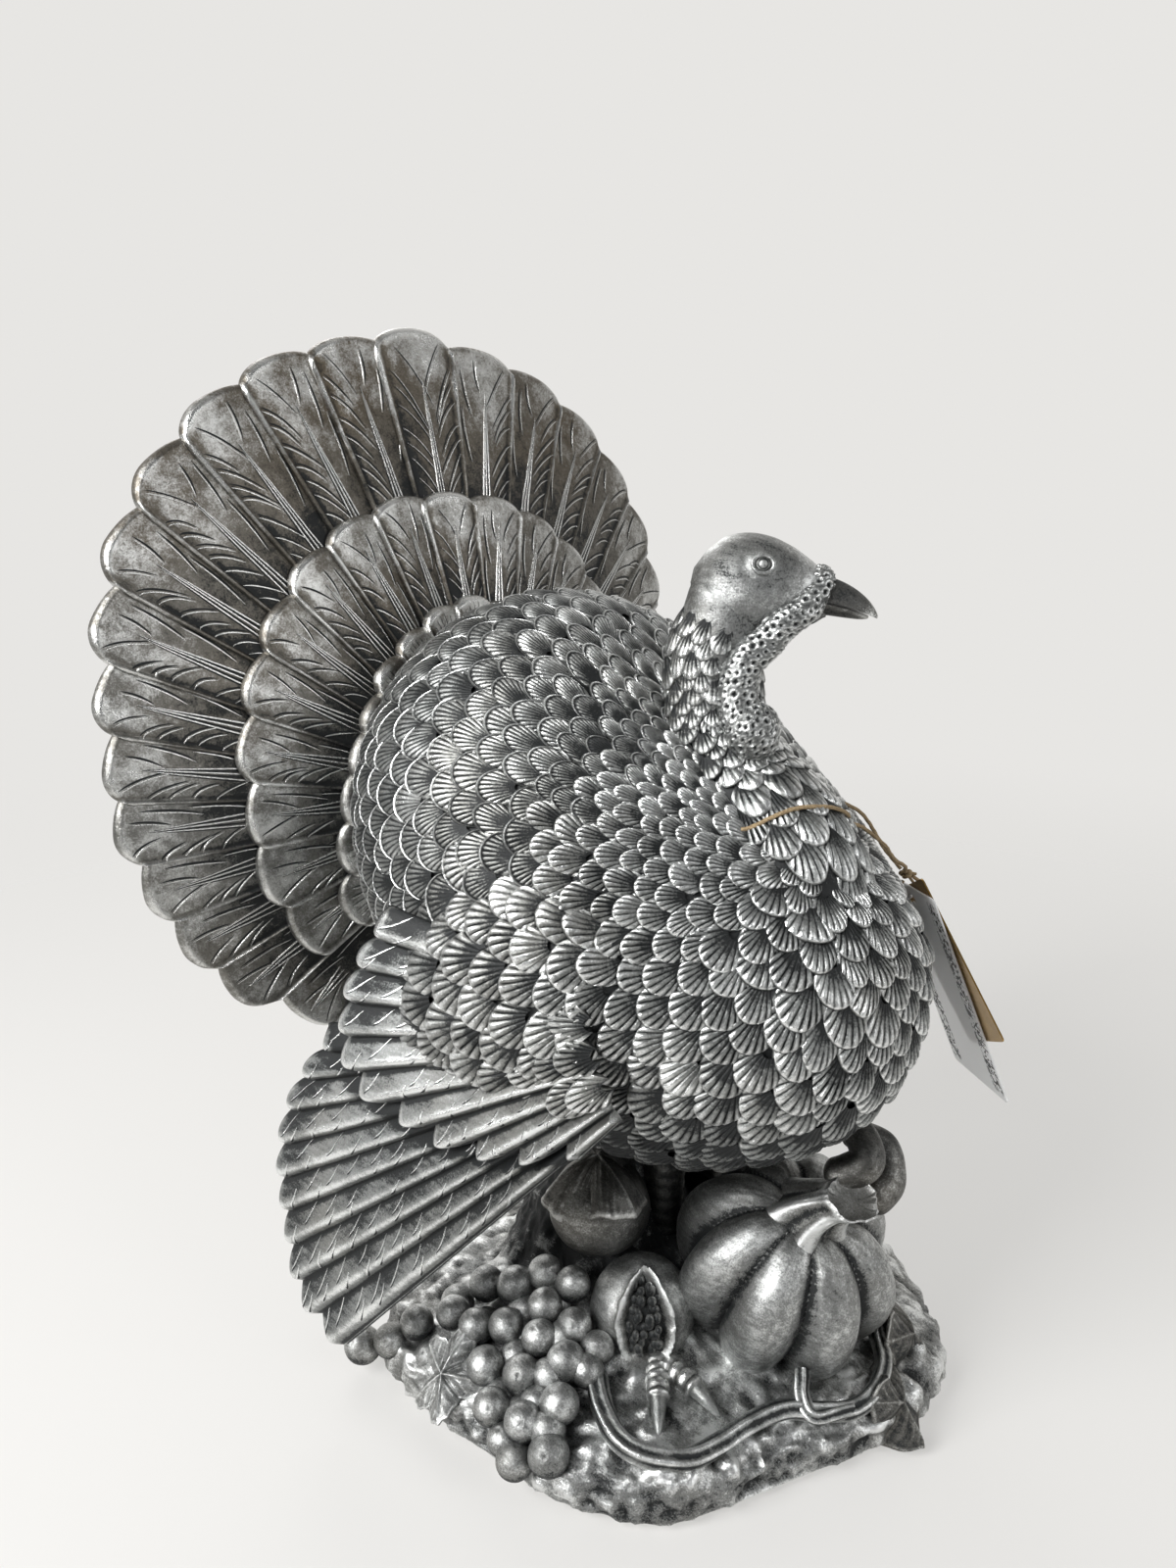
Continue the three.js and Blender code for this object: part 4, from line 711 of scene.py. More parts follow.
# Plumes point away from the neck's root: low on the breast they hang, on the flanks they rise to the tail,
# and over the wing's root they fall.
def flow(here, out):
    w = unit(here - BODY_MIDDLE)

    def away(angle):
        pole = pole_at(angle)
        return unit(w * (w @ pole)[:, None] - pole)

    front = smooth(-54, -84, here[:, 1])[:, None]
    flat = here * vec(0, 1, 1) + np.abs(here) * vec(1, 0, 0) - SHOULDER
    shoulder = bell(distance(flat, 0), 0, 48)[:, None]
    want = away(rad(80)) * (1 - front) + away(rad(48)) * front
    want = unit(want) + unit(away(0.0) + vec(0, 0.35, 0)) * shoulder * 0.9
    return unit(want - out * row_dot(out, want))


def torso_spots():
    polar, azimuth, step = torso_anchors().T
    near = rad(1.5)

    def over(polar_step, azimuth_step):
        return torso_point(plumage_direction(polar + polar_step, azimuth + azimuth_step))

    here = over(0, 0)
    down = over(near, 0) - over(-near, 0)
    side = over(0, near) - over(0, -near)
    wide = np.linalg.norm(side, axis=1) / (2 * near) * step
    long = np.linalg.norm(down, axis=1) / (2 * near) * ROW_TURN
    keep = before_tail(here, 13) & (long < 15)
    here, down, side, wide, long = here[keep], unit(down[keep]), side[keep], wide[keep], long[keep]
    out = unit(np.cross(down, side))
    out *= np.sign(row_dot(out, here - BODY_MIDDLE))
    down = flow(here, out)
    side = np.cross(down, out)
    lean = rng.normal(0, rad(7), len(here))[:, None]
    down, side = down * np.cos(lean) + side * np.sin(lean), side * np.cos(lean) - down * np.sin(lean)
    return here, down, side, out, wide, np.minimum(long, 10)


def on_torso(flat):
    return torso_point(unit(flat - BODY_MIDDLE))


def make_body():
    spots = torso_spots()
    here = spots[0]
    direction = unit(here - BODY_MIDDLE)
    on_shoulder = shoulder_reach(direction) > out_to_edge(direction, in_torso, TORSO_FAR) - 2
    mixed = rng.normal(0, 11, len(here))
    tail_near = here[:, 1] + 0.25 * (here[:, 2] - 190)
    breast = (here[:, 1] < -26 + mixed) & (here[:, 2] < 262 + mixed) | (here[:, 2] < 168 + mixed)
    bright = (tail_near > 16 + mixed) & ~breast & ~on_shoulder
    kinds = (
        (breast_plume, breast | on_shoulder),
        (bright_plume, bright & ~(breast | on_shoulder)),
        (flank_plume, ~(breast | on_shoulder | bright)),
    )
    groups = (
        ("torso_plumage", "body", ~on_shoulder),
        ("right_shoulder_plumage", "right_wing_shoulder", on_shoulder & (here[:, 0] < 0)),
        ("left_shoulder_plumage", "left_wing_shoulder", on_shoulder & (here[:, 0] > 0)),
    )
    for name, node, chosen in groups:
        mesh = Mesh()
        for plume, kind in kinds:
            pick = chosen & kind
            if pick.any():
                # Plumes low on the body are darkened towards the bottom: painted shade under the belly.
                low = smooth(165, 118, here[pick][:, 2]) * 0.45
                plume.place(mesh, [v[pick] for v in spots], on_torso, brighter=-low)
        if name == "torso_plumage":
            p, a = grid(np.linspace(rad(1), rad(179), 70), round_turn(110))
            core = plumage_direction(p, a)
            mesh.loft(BODY_MIDDLE + core * (torso_reach(core) - 0.7)[..., None], 0.06)
        mesh.piece(name, silver, node)


make_body()

HEAD = vec(5.51, -30.94, 313.5)
HEAD_LENGTH, HEAD_HIGH, HEAD_WIDE = 52, 19, 16.5
wattle_route = HEAD + HEAD_LENGTH * np.array([
    [0.22, -0.52, 0.067], [0.087, -0.48, -0.087], [-0.03, -0.385, -0.2], [-0.106, -0.288, -0.337],
    [-0.2, -0.192, -0.47], [-0.24, -0.173, -0.663], [-0.24, -0.21, -0.817], [-0.22, -0.27, -0.933],
])
wattle_shares = [3.3, 5.0, 5.7, 6.0, 6.3, 6.8, 7.6, 9.2]
wattle_line = spline(wattle_route, 90)[0]
wattle_radius = np.interp(np.linspace(0, 1, 90), np.linspace(0, 1, 8), wattle_shares)

# Neck: rows of small plumes down a curved column. Each row of the table is a place and the neck's spread.
neck_rows = np.array([
    [0.3, -0.09, 0.13, 0], [0.1, -0.03, 0.06, 0], [0, 0, 0, 0], [0, -0.02, -0.1, 0], [0, -0.04, -0.2, 0.03],
    [0, -0.13, -0.32, 0.1], [0, -0.34, -0.45, 0.26], [0, -0.56, -0.55, 0.46], [0, -0.78, -0.71, 0.75],
    [0, -0.86, -0.93, 1],
])
NECK_TOP = vec(0, -23.92, 288.0)
NECK_REACH = vec(10, 44, 100)
NECK_RADIUS, NECK_SPREAD = 16.5, 14.5
NECK_STEPS = 160
neck_table = np.hstack([NECK_TOP + neck_rows[:, :3] * NECK_REACH, NECK_RADIUS + NECK_SPREAD * neck_rows[:, 3:]])
neck_line, neck_length = spline(neck_table, NECK_STEPS, 4)


def nearest(p, line):
    return np.linalg.norm(p[:, None] - line[None], axis=-1).min(1)


def make_neck():
    centre, radius = neck_line[:, :3], neck_line[:, 3]
    _, across, other = line_frames(centre, (0, 1, 0))
    share = np.linspace(0, 1, NECK_STEPS)

    def on_line(s, values):
        return stacked(*(np.interp(s, share, values[:, c]) for c in range(3)))

    def on_neck(s, turn, lift):
        out = unit(on_line(s, across) * np.cos(turn)[..., None] + on_line(s, other) * np.sin(turn)[..., None])
        return on_line(s, centre) + out * (np.interp(s, share, radius) + lift)[..., None]

    mesh = Mesh()
    s, t = grid(np.linspace(0, 1, 60), round_turn(48))
    skin = on_neck(s, t, np.full(s.shape, -0.2))
    mesh.loft(skin, 0.05 + 0.33 * smooth(258, 282, skin[..., 2]))
    hidden_twine = twine_line[twine_line[:, 1] > -52]

    place, row = 0.035, 0
    while place < 0.93:
        size = np.interp(place, share, radius)
        long = 4.7 + 2.4 * smooth(0.2, 0.75, place)
        wider = 1.62 + 0.3 * smooth(0.55, 0.8, place)
        count = int(round(TURN * size / (long * wider)))
        middle = (np.arange(count) + 0.5 * (row % 2)) * TURN / count + rng.normal(0, 0.04, count)
        s = np.full(count, place) + rng.normal(0, 0.06, count) * long / neck_length
        here = on_neck(s, middle, 0 * s)
        keep = ~in_torso(here - unit(here - on_line(s, centre)) * 1.0) | (here[:, 2] > 262)
        bare = np.interp(place, [0, 0.1, 0.22, 0.34, 0.6, 1], [12, 8, 6.4, 6.0, 7.2, 0])
        keep &= nearest(here, wattle_line) > bare
        if keep.any():
            count, middle, s, here = keep.sum(), middle[keep], s[keep], here[keep]
            down = unit(on_neck(s + 0.01, middle, 0 * s) - on_neck(s - 0.01, middle, 0 * s))
            side = on_neck(s, middle + 0.02, 0 * s) - on_neck(s, middle - 0.02, 0 * s)
            out = unit(here - on_line(s, centre))
            out = unit(out - down * row_dot(out, down))
            side = np.cross(down, out)
            wide = np.full(count, long * wider)

            def bent(flat, here=here, middle=middle, s=s, side=side, down=down):
                x = np.einsum("nijk,nk->nij", flat - here[:, None, None], side)
                y = np.einsum("nijk,nk->nij", flat - here[:, None, None], down)
                where = s[:, None, None] + y / neck_length
                turn = middle[:, None, None] - x / np.interp(where, share, radius)
                return on_neck(where, turn, 0 * turn)

            spots = (here, down, side, out, wide, np.full(count, long))
            kind = neck_plume if place < 0.62 else breast_plume
            over_twine = smooth(9, 5, nearest(here, hidden_twine))
            kind.place(mesh, spots, bent, over_twine * 1.2, -0.15 * over_twine)
        place += long / neck_length
        row += 1
    return mesh.piece("neck_plumage", silver, "neck")


make_neck()

# Head
head_shares = np.array([
    [-0.35, 0, 0], [-0.33, 0.3, 0.32], [-0.26, 0.6, 0.62], [-0.15, 0.87, 0.9], [0, 0.99, 1], [0.16, 0.97, 0.98],
    [0.31, 0.82, 0.84], [0.43, 0.64, 0.62], [0.52, 0.49, 0.44], [0.58, 0.36, 0.32],
])


def head_frame(p):
    return turned(turned(np.asarray(p, float), (1, 0, 0), rad(-5)), (0, 0, 1), rad(210)) + HEAD


def make_head():
    back = -0.35 + 0.35 * (1 - np.cos(np.linspace(0.06, math.pi / 2, 22)))
    a, t = grid(np.concatenate([back, np.linspace(0.02, 0.58, 34)]), round_turn(72))
    high = np.maximum(between(head_shares, a, 1), 0.02) * HEAD_HIGH
    wide = np.maximum(between(head_shares, a, 2), 0.02) * HEAD_WIDE
    x, z = wide * np.sin(t), high * np.cos(t)
    p = stacked(x, a * HEAD_LENGTH, z)
    out = unit(stacked(np.sin(t) / wide, 0 * t, np.cos(t) / high))

    def on_both(p, x, y, z, middle, half, size=1):
        return sum(bell(distance(p, vec(x * s, y, z), size), middle, half) for s in (-1, 1))

    socket = on_both(p, 13.2, 8, 9.5, 6.2, 2.2)
    brow = on_both(p, 12, 10, 15, 0, 5)
    cheek = on_both(p, 15, 2, -3, 0, 9)
    p = p + out * (brow * 0.9 - socket * 0.5 + cheek * 0.8 + noise(p, 9, 3) * 0.25)[..., None]
    smudge = on_both(p, 13, 6, 9.5, 6.5, 4, vec(1, 1.8, 1))
    # The underside of the head's front half is darkened: painted shade under the head.
    tone = 0.72 - smudge * 0.4 - smooth(2, -12, z) * smooth(-12, 6, p[..., 1]) * 0.55 + noise(p, 12, 5) * 0.1
    tone = tone - smooth(14, 19, z) * 0.15
    mesh = Mesh().loft(head_frame(p), tone)
    at = [int(NECK_STEPS * share) for share in (0.03, 0.08, 0.15, 0.24, 0.33)]
    route = np.vstack([head_frame(vec(0, -1.2, 5)), head_frame(vec(0, -1.6, 0)), neck_line[at, :3]])
    line = spline(route, 60)[0]
    nape_radius = [14.8, 16.2, 16.7, 16.8, 16.75, 16.7, 16.2]
    radius = np.interp(np.linspace(0, 1, 60), np.linspace(0, 1, 7), nape_radius)
    rings = tube(line, radius[:, None], 72)
    out = unit(rings - line[:, None])
    # The nape's side towards the wattle is darkened: painted shade behind the wattle.
    tone = 0.68 - 0.26 * smooth(0.15, 0.8, out @ vec(-0.5, -0.85, 0)) + noise(rings, 12, 5) * 0.1
    mesh.loft(rings, tone)
    return mesh.piece("head_skin", satin, "head")


make_head()


def make_eye(side, name, node):
    middle = vec(13.6 * side, 8, 9.5)
    out = unit(vec(side, 0.15, 0.35))
    up = unit(np.cross(out, (0, 1, 0)))
    fore = np.cross(up, out)
    turn = round_turn(40)
    ring = middle + out * 1.3 + (fore * np.cos(turn)[:, None] * 3.6 + up * np.sin(turn)[:, None] * 3.0)
    ring = np.vstack([ring, ring[:1]])
    mesh = Mesh().loft(head_frame(tube(ring, 0.75, 10, out)), 0.6)
    shape, bead = ball(middle - out * 0.2, 2.8, 22, 28, out)
    dent = bell(np.arccos(np.clip(shape[..., 2], -1, 1)), 0.62, 0.1)
    bead = bead - shape[..., 2:3] * out * dent[..., None] * 0.3
    mesh.loft(head_frame(bead), 0.4 - dent * 0.4 + 0.25 * (shape[..., 2] > 0.85))
    return mesh.piece(name, satin, node)


make_eye(1, "right_eye_bead", "right_eye")
make_eye(-1, "left_eye_bead", "left_eye")


def make_beak(side, name, node, length, height):
    share = np.concatenate([np.linspace(-0.38, 0.9, 34), 1 - 0.1 * (1 - np.linspace(0.15, 1, 10)) ** 2])
    turn = np.concatenate([np.linspace(0, math.pi, 22), math.pi + np.linspace(0, math.pi, 10)[1:-1]])
    s, t = grid(share, turn)
    taper = np.sqrt(1 - np.clip(s, 0, 1) ** 2.1 * 0.985)
    hook = np.maximum(s, 0) ** 2.2 * (4.8 if side > 0 else 3.4)
    arch = np.maximum(np.sin(t), 0)
    x = -np.cos(t) * 6.7 * taper * (1 - 0.1 * arch)
    rise = arch**0.85 * height * taper
    z = -1 - hook + side * (0.3 + rise)
    nostril = bell(s, 0.16, 0.1) * bell(rise, height * 0.55, 1.1) * (side > 0)
    p = stacked(x * (1 - nostril * 0.12), 27 + s * length - 4 * (1 - np.clip(s, 0, 1)), z)
    edge = bell(rise, 0.4, 0.9)
    tone = 0.3 + 0.3 * bell(s, 0.95, 0.15) + 0.2 * edge - nostril * 0.6 + noise(p, 3, 8) * 0.1
    p[..., 2] += side * edge * 0.25
    return Mesh().loft(head_frame(p), tone).piece(name, dark_silver, node)


make_beak(1, "upper_bill", "upper_beak", 20.5, 8.2)
make_beak(-1, "lower_bill", "lower_beak", 17.5, 4.8)


# Pits with raised lips over a surface, from the pits' middles.
def pits(p, middles, sizes):
    dent = np.zeros(p.shape[:-1])
    lip = np.zeros(p.shape[:-1])
    for middle, size in zip(middles, sizes):
        d = distance(p, middle) / size
        dent = np.maximum(dent, np.exp(-((d / 0.55) ** 2)))
        lip = np.maximum(lip, bell(d, 1.05, 0.32))
    return dent, lip


PIT_SPACING, MOST_PITS = 2.45, 260


def make_wattle():
    line, radius = wattle_line, wattle_radius.copy()
    radius[-12:] *= np.sqrt(1 - np.linspace(0, 0.99, 12) ** 2)
    mesh = Mesh()
    rings = tube(line, radius[:, None], 60)
    bulb = ball(wattle_route[-1] + vec(0.3, -1.0, 0.8), vec(9.8, 9.8, 10.6), 50, 70)[1]
    # A fleshy lump overhangs the root of the upper beak.
    lump_middle = head_frame(vec(0, 25.5, 6.2))
    lump = ball(lump_middle, vec(5.6, 6.2, 4.2), 34, 46)[1]
    for surface, inside in ((rings, line[:, None]), (bulb, wattle_route[-1]), (lump, lump_middle)):
        flat = surface.reshape(-1, 3)
        pick = rng.permutation(len(flat))
        chosen = []
        for k in pick:
            if all(np.linalg.norm(flat[k] - c) > PIT_SPACING for c in chosen):
                chosen.append(flat[k])
            if len(chosen) > MOST_PITS:
                break
        sizes = rng.uniform(0.85, 1.35, len(chosen))
        dent, lip = pits(surface, chosen, sizes)
        out = unit(surface - inside)
        shaped = surface + out * (lip * 0.5 - dent * 0.9 + rough(surface, 5, 2, 4) * 0.4)[..., None]
        mesh.loft(shaped, 0.3 + lip * 0.6 - dent * 0.6)
    return mesh.piece("caruncles", silver, "wattle")


make_wattle()

# Fine lines on a feather: slim slivers, bright where they stand up and dark where they are cut. Each
# line is [share across, place from the tip, the same at its end, half width, height, tone, bow].
SLIVER_STEPS = 11


def slivers(mesh, place, width_at, lines):
    if not lines:
        return
    share = np.linspace(0, 1, SLIVER_STEPS)[None]
    s0, v0, s1, v1, half, high, tone, bow = (np.array(lines, float)[:, k : k + 1] for k in range(8))
    across = width_at((v0 + v1) / 2)
    du, dv = (s1 - s0) * across, v1 - v0
    run = np.hypot(du, dv)
    nu, nv = -dv / run, du / run
    arch = bow * np.sin(math.pi * share)
    width = half * (0.15 + 0.85 * np.sin(math.pi * share) ** 0.55)
    side = np.array([-1, -0.45, 0.45, 1])
    u = (s0 * across + du * share + nu * arch)[..., None] + (nu * width)[..., None] * side
    v = (v0 + dv * share + nv * arch)[..., None] + (nv * width)[..., None] * side
    lift = np.where(np.abs(side) == 1, -0.35, high[..., None])
    mesh.loft(place(np.clip(u / width_at(v), -0.98, 0.98), np.maximum(v, 0.4), lift), tone[..., None])


# A carved stroke: a dark cut with a bright lip beside it.
def stroke(s0, v0, s1, v1, half, bow, lip_share):
    return [
        [s0, v0, s1, v1, half, 0.07, 0.0, bow],
        [s0 + lip_share, v0 + half, s1 + lip_share, v1 + half, half * 0.62, 0.3, 1.0, bow],
    ]


def feather_strokes(width, shown, first):
    made = []
    place = rng.uniform(2.0, 4.5)
    while place < shown - 12:
        near_tip = 1 - smooth(4, 30, place)
        run = rng.uniform(0.6, 0.95) * (1 - 0.2 * near_tip)
        start = rng.uniform(0.8, 0.9) - 0.25 * near_tip * (place < 6)
        lean = rng.uniform(1.3, 1.7) + 0.8 * near_tip
        rise = run * width * lean
        half, bow = rng.uniform(0.5, 0.75), rng.uniform(0.2, 1.0)
        made += stroke(start, place, start - run, place + rise, half, bow, 0.05)
        if first:
            made += stroke(-start, place + 3, run - start, place + 3 + rise, 0.42, -0.8, 0.035)
        place += rng.uniform(6, 9.5)
    if not first:
        for s0, v0, s1, v1 in ((-0.36, 2.5, -0.2, 19), (-0.62, 7, -0.42, 30), (-0.74, 24, -0.5, 50)):
            s0, v0 = s0 + rng.normal(0, 0.05), v0 + rng.uniform(0, 5)
            made += stroke(s0, v0, s1, v1, 0.55, 0.5, 0.05)
    return made


def shaft_lines(width, shown, start_share):
    made = []
    start = shown * start_share
    for offset, tone in ((-2.3, 1), (-1.4, 0), (-0.5, 1), (0.6, 0), (1.4, 1), (2.3, 0)):
        begin = start + abs(offset) * shown * 0.035
        middle = -1.2 / width
        end_share = middle + offset * 1.25 / width
        high, half = (0.42, 0.4) if tone else (0.06, 0.5)
        made.append([middle + offset * 0.2 / width, begin, end_share, shown + 6, half, high, 0.92 * tone, 0.0])
    return made


def rib_lines(count):
    made = []
    for k in range(count):
        s = (k + 0.5) / count * 1.6 - 0.8
        made += stroke(s * 0.95, 2.2 + 3 * abs(s), s * 0.55, 13 + 2 * abs(s), 0.36, 0.2, 0.05)
    return made


# Tail feathers as blades: the middle one lies on top, and each covers its outer neighbour.
def tail_tier(mesh, shares, radius, height, face, visible, columns, pitch, detail):
    shares = np.array(shares, float)
    blade, lift = 2.8, 1.1
    last = len(shares) - 1
    for i in range(last + 1):
        angle, reach = shares[i]
        before = (shares[i - 1][0] + angle) / 2 if i else -shares[1][0] / 2
        after = (shares[i + 1][0] + angle) / 2 if i < last else angle + (angle - shares[i - 1][0]) / 2
        middle, half = rad((before + after) / 2), rad((after - before) / 2)
        reach_mm = reach * radius
        depth = half * reach_mm * 0.42
        inner = shares[i - 1][1] if i else shares[1][1]
        outer = shares[i + 1][1] if i < last else reach
        notch = [max(0, (reach - inner) * radius) + depth, max(0, (reach - outer) * radius) + depth]
        shown = max(reach_mm - visible, 14)
        for side in ((1, -1) if i else (1,)):
            seed = i * 40 + side * 17

            def radius_at(ss, vv):
                drop = np.where(ss < 0, notch[0], notch[1]) * (1 - np.sqrt(np.maximum(1 - ss * ss, 0)))
                return reach_mm - drop * np.clip(1 - vv / (shown + 10), 0, 1) - vv

            def front_up(ss, vv):
                u = ss * half * radius_at(ss, vv)
                edge = ss if i else np.abs(ss)
                rolled, trough = bell(edge, 0.93, 0.045), bell(edge, 0.8, 0.07)
                up = blade / 2 + lift * (ss if i else np.abs(ss) * 0.6) + 0.9 * (1 - ss * ss)
                up = up + rolled * 0.85 - trough * 0.4 - np.exp(-vv / 0.9) * 1.5 + bell(vv, 1.6, 1.1) * 0.35
                return up + noise(stacked(u, vv, 0 * u + seed), 9, 2) * 0.3

            def on_fan(ss, vv, up):
                r = radius_at(ss, vv)
                a = side * (middle + ss * (half + (0.035 if i else 0.02) * (ss < 0))) * face
                return stacked(
                    FAN_APEX[0] + r * np.sin(a),
                    FAN_APEX[1] + FAN_SLOPE * r - height - face * up,
                    FAN_APEX[2] + r * np.cos(a),
                )

            s = -np.cos(np.linspace(0, math.pi, columns)) * 0.5 + np.linspace(-0.5, 0.5, columns)
            rows = max(int(shown / pitch), 8)
            edge_rows = np.array([0, 0.25, 0.7, 1.3, 1.9])
            hidden_rows = [shown + 14, reach_mm - 12]
            ss, vv = grid(s, np.concatenate([edge_rows, np.linspace(2.8, shown, rows), hidden_rows]))
            edge = ss if i else np.abs(ss)
            rolled, trough = bell(edge, 0.93, 0.05), bell(edge, 0.79, 0.08)
            mottle = stacked(ss * 12, vv * 0.6, 0 * ss + seed)
            shade = noise(mottle, 16, 7) * 0.16 + noise(mottle, 5, 3) * 0.14 + noise(mottle, 2.2, 5) * 0.1
            worn_edge = 0.55 + 0.45 * noise(mottle, 9, 2)
            worn_tip = bell(vv, 1.6, 1.2) * 0.5 * smooth(-0.6, 0.3, edge) * worn_edge
            tone = 0.4 + rolled * 0.6 * worn_edge - trough * 0.2 + worn_tip
            tone = tone + 0.2 * bell(vv, 10, 16) + 0.12 * bell(ss, 0.2, 0.4)
            tone = tone + shade - smooth(shown * 0.3, shown, vv) * 0.3 - smooth(-0.82, -1.0, ss) * 0.5 * (i > 0)
            low = -blade / 2 - 0.5 * (1 - ss * ss)
            low_tone = 0.42 + bell(np.abs(ss), 0.93, 0.05) * 0.4 + shade + bell(vv, 1.6, 1.6) * 0.3
            front, back = on_fan(ss, vv, front_up(ss, vv)), on_fan(ss, vv, low)
            mesh.loft(np.concatenate([front, back[:, ::-1]], 1), np.concatenate([tone, low_tone[:, ::-1]], 1))

            def width_at(v):
                return half * (reach_mm - v)

            def on_front(ss, vv, up):
                return on_fan(ss, vv, front_up(ss, vv) + up)

            def on_back(ss, vv, up):
                return on_fan(ss, vv, -blade / 2 - 0.5 * (1 - ss * ss) - up)

            if detail == "ribs":
                slivers(mesh, on_front, width_at, rib_lines(6))
                continue
            width = width_at(shown * 0.4)
            for surface, start in ((on_front, 0.2), (on_back, 0.1))[: 2 if detail == "both" else 1]:
                lines = feather_strokes(width, shown, i == 0) + shaft_lines(width, shown, start)
                slivers(mesh, surface, width_at, lines)


outer_shares = [
    [0, 1], [12, 0.985], [22, 0.985], [32, 0.975], [42, 0.954], [51.5, 0.924], [61, 0.883], [70, 0.838],
    [79, 0.802], [88.5, 0.782], [98.5, 0.746], [109.5, 0.716], [121.5, 0.685], [137, 0.63],
]
middle_shares = [
    [0, 1], [13, 1.005], [25, 1], [36, 0.985], [48, 0.953], [60, 0.922], [73, 0.884], [87, 0.838], [102, 0.83],
    [119, 0.8],
]
inner_shares = [
    [0, 1.02], [14, 1], [27, 0.96], [40, 0.93], [54, 0.88], [68, 0.86], [84, 0.87], [101, 0.91], [119, 0.99],
]
back_shares = [[0, 1], [26, 0.98], [52, 0.95], [79, 0.9], [108, 0.88], [140, 0.9]]


def fan_foot(mesh, radius, height, face):
    turn = round_turn(72)
    rings = []
    edge = ((11.5, -1.4), (radius, -1.4), (radius + 0.6, -0.6), (radius + 0.6, 0.4), (radius, 1.1), (11.5, 1.1))
    for r, up in edge:
        y = FAN_APEX[1] + FAN_SLOPE * r - height - face * up
        rings.append(stacked(r * np.sin(turn), 0 * turn + y, FAN_APEX[2] + r * np.cos(turn)))
    mesh.loft(rings, 0.2)


FOOT_RADIUS = 58


# Each tier has its radius, height, face, the radius where it is covered, columns, pitch and kind of carving.
def make_tail():
    layer = 4.2
    tiers = (
        ("tail_fan_outer", "tail_feathers_outer", outer_shares, 197, 0, 1, 104, 30, 2.2, "both"),
        ("tail_fan_middle", "tail_feathers_middle", middle_shares, 129, layer, 1, 72, 26, 2.0, "front"),
        ("tail_fan_inner", "tail_feathers_inner", inner_shares, 84, 2 * layer, 1, 58, 20, 1.8, "ribs"),
        ("tail_back_coverts", "tail_coverts_back", back_shares, 66, -3.1, -1, 14, 22, 2.0, "front"),
    )
    for name, node, shares, radius, height, face, visible, columns, pitch, detail in tiers:
        mesh = Mesh()
        tail_tier(mesh, shares, radius, height, face, visible, columns, pitch, detail)
        fan_foot(mesh, FOOT_RADIUS, height, face)
        mesh.piece(name, tail_silver, node, crease=48)


make_tail()

# Wings: each feather is a rounded ridge over the next lower one, with a deep groove under its edge.
WING_ROOT = vec(74.6, -88, 190.0)
primary_shares = [
    [15.5, 0.71], [19, 0.77], [22.5, 0.825], [26.2, 0.87], [29.8, 0.905], [33.3, 0.93], [36.8, 0.955],
    [40.3, 0.985], [43.8, 1], [47.6, 0.99],
]
covert_shares = [
    [-4.5, 0.86], [1.2, 0.91], [6.7, 0.955], [12, 0.985], [17.3, 1], [22.6, 0.97], [27.9, 0.875], [33.2, 0.8],
    [38.5, 0.7], [43.8, 0.6], [49, 0.48],
]
COVERT_REACH, PRIMARY_REACH = 146, 223


# Short diagonal cuts over a wing feather, bright and raised where it is fine and dark where it is deep.
def wing_strokes(width, length, deep):
    made = []
    place = rng.uniform(5, 10)
    while place < length - 8:
        for lane in (-0.3, 0.3):
            if rng.random() < 0.8:
                middle = lane + rng.uniform(-0.12, 0.12)
                run = rng.uniform(0.3, 0.45)
                rise = run * width * rng.uniform(1.5, 2.1)
                v = place + rng.uniform(-2, 2)
                made += stroke(middle - run, v + rise, middle + run, v - rise, 0.62 + 0.15 * deep, 0.6, -0.09)
        place += rng.uniform(9, 15)
    return made


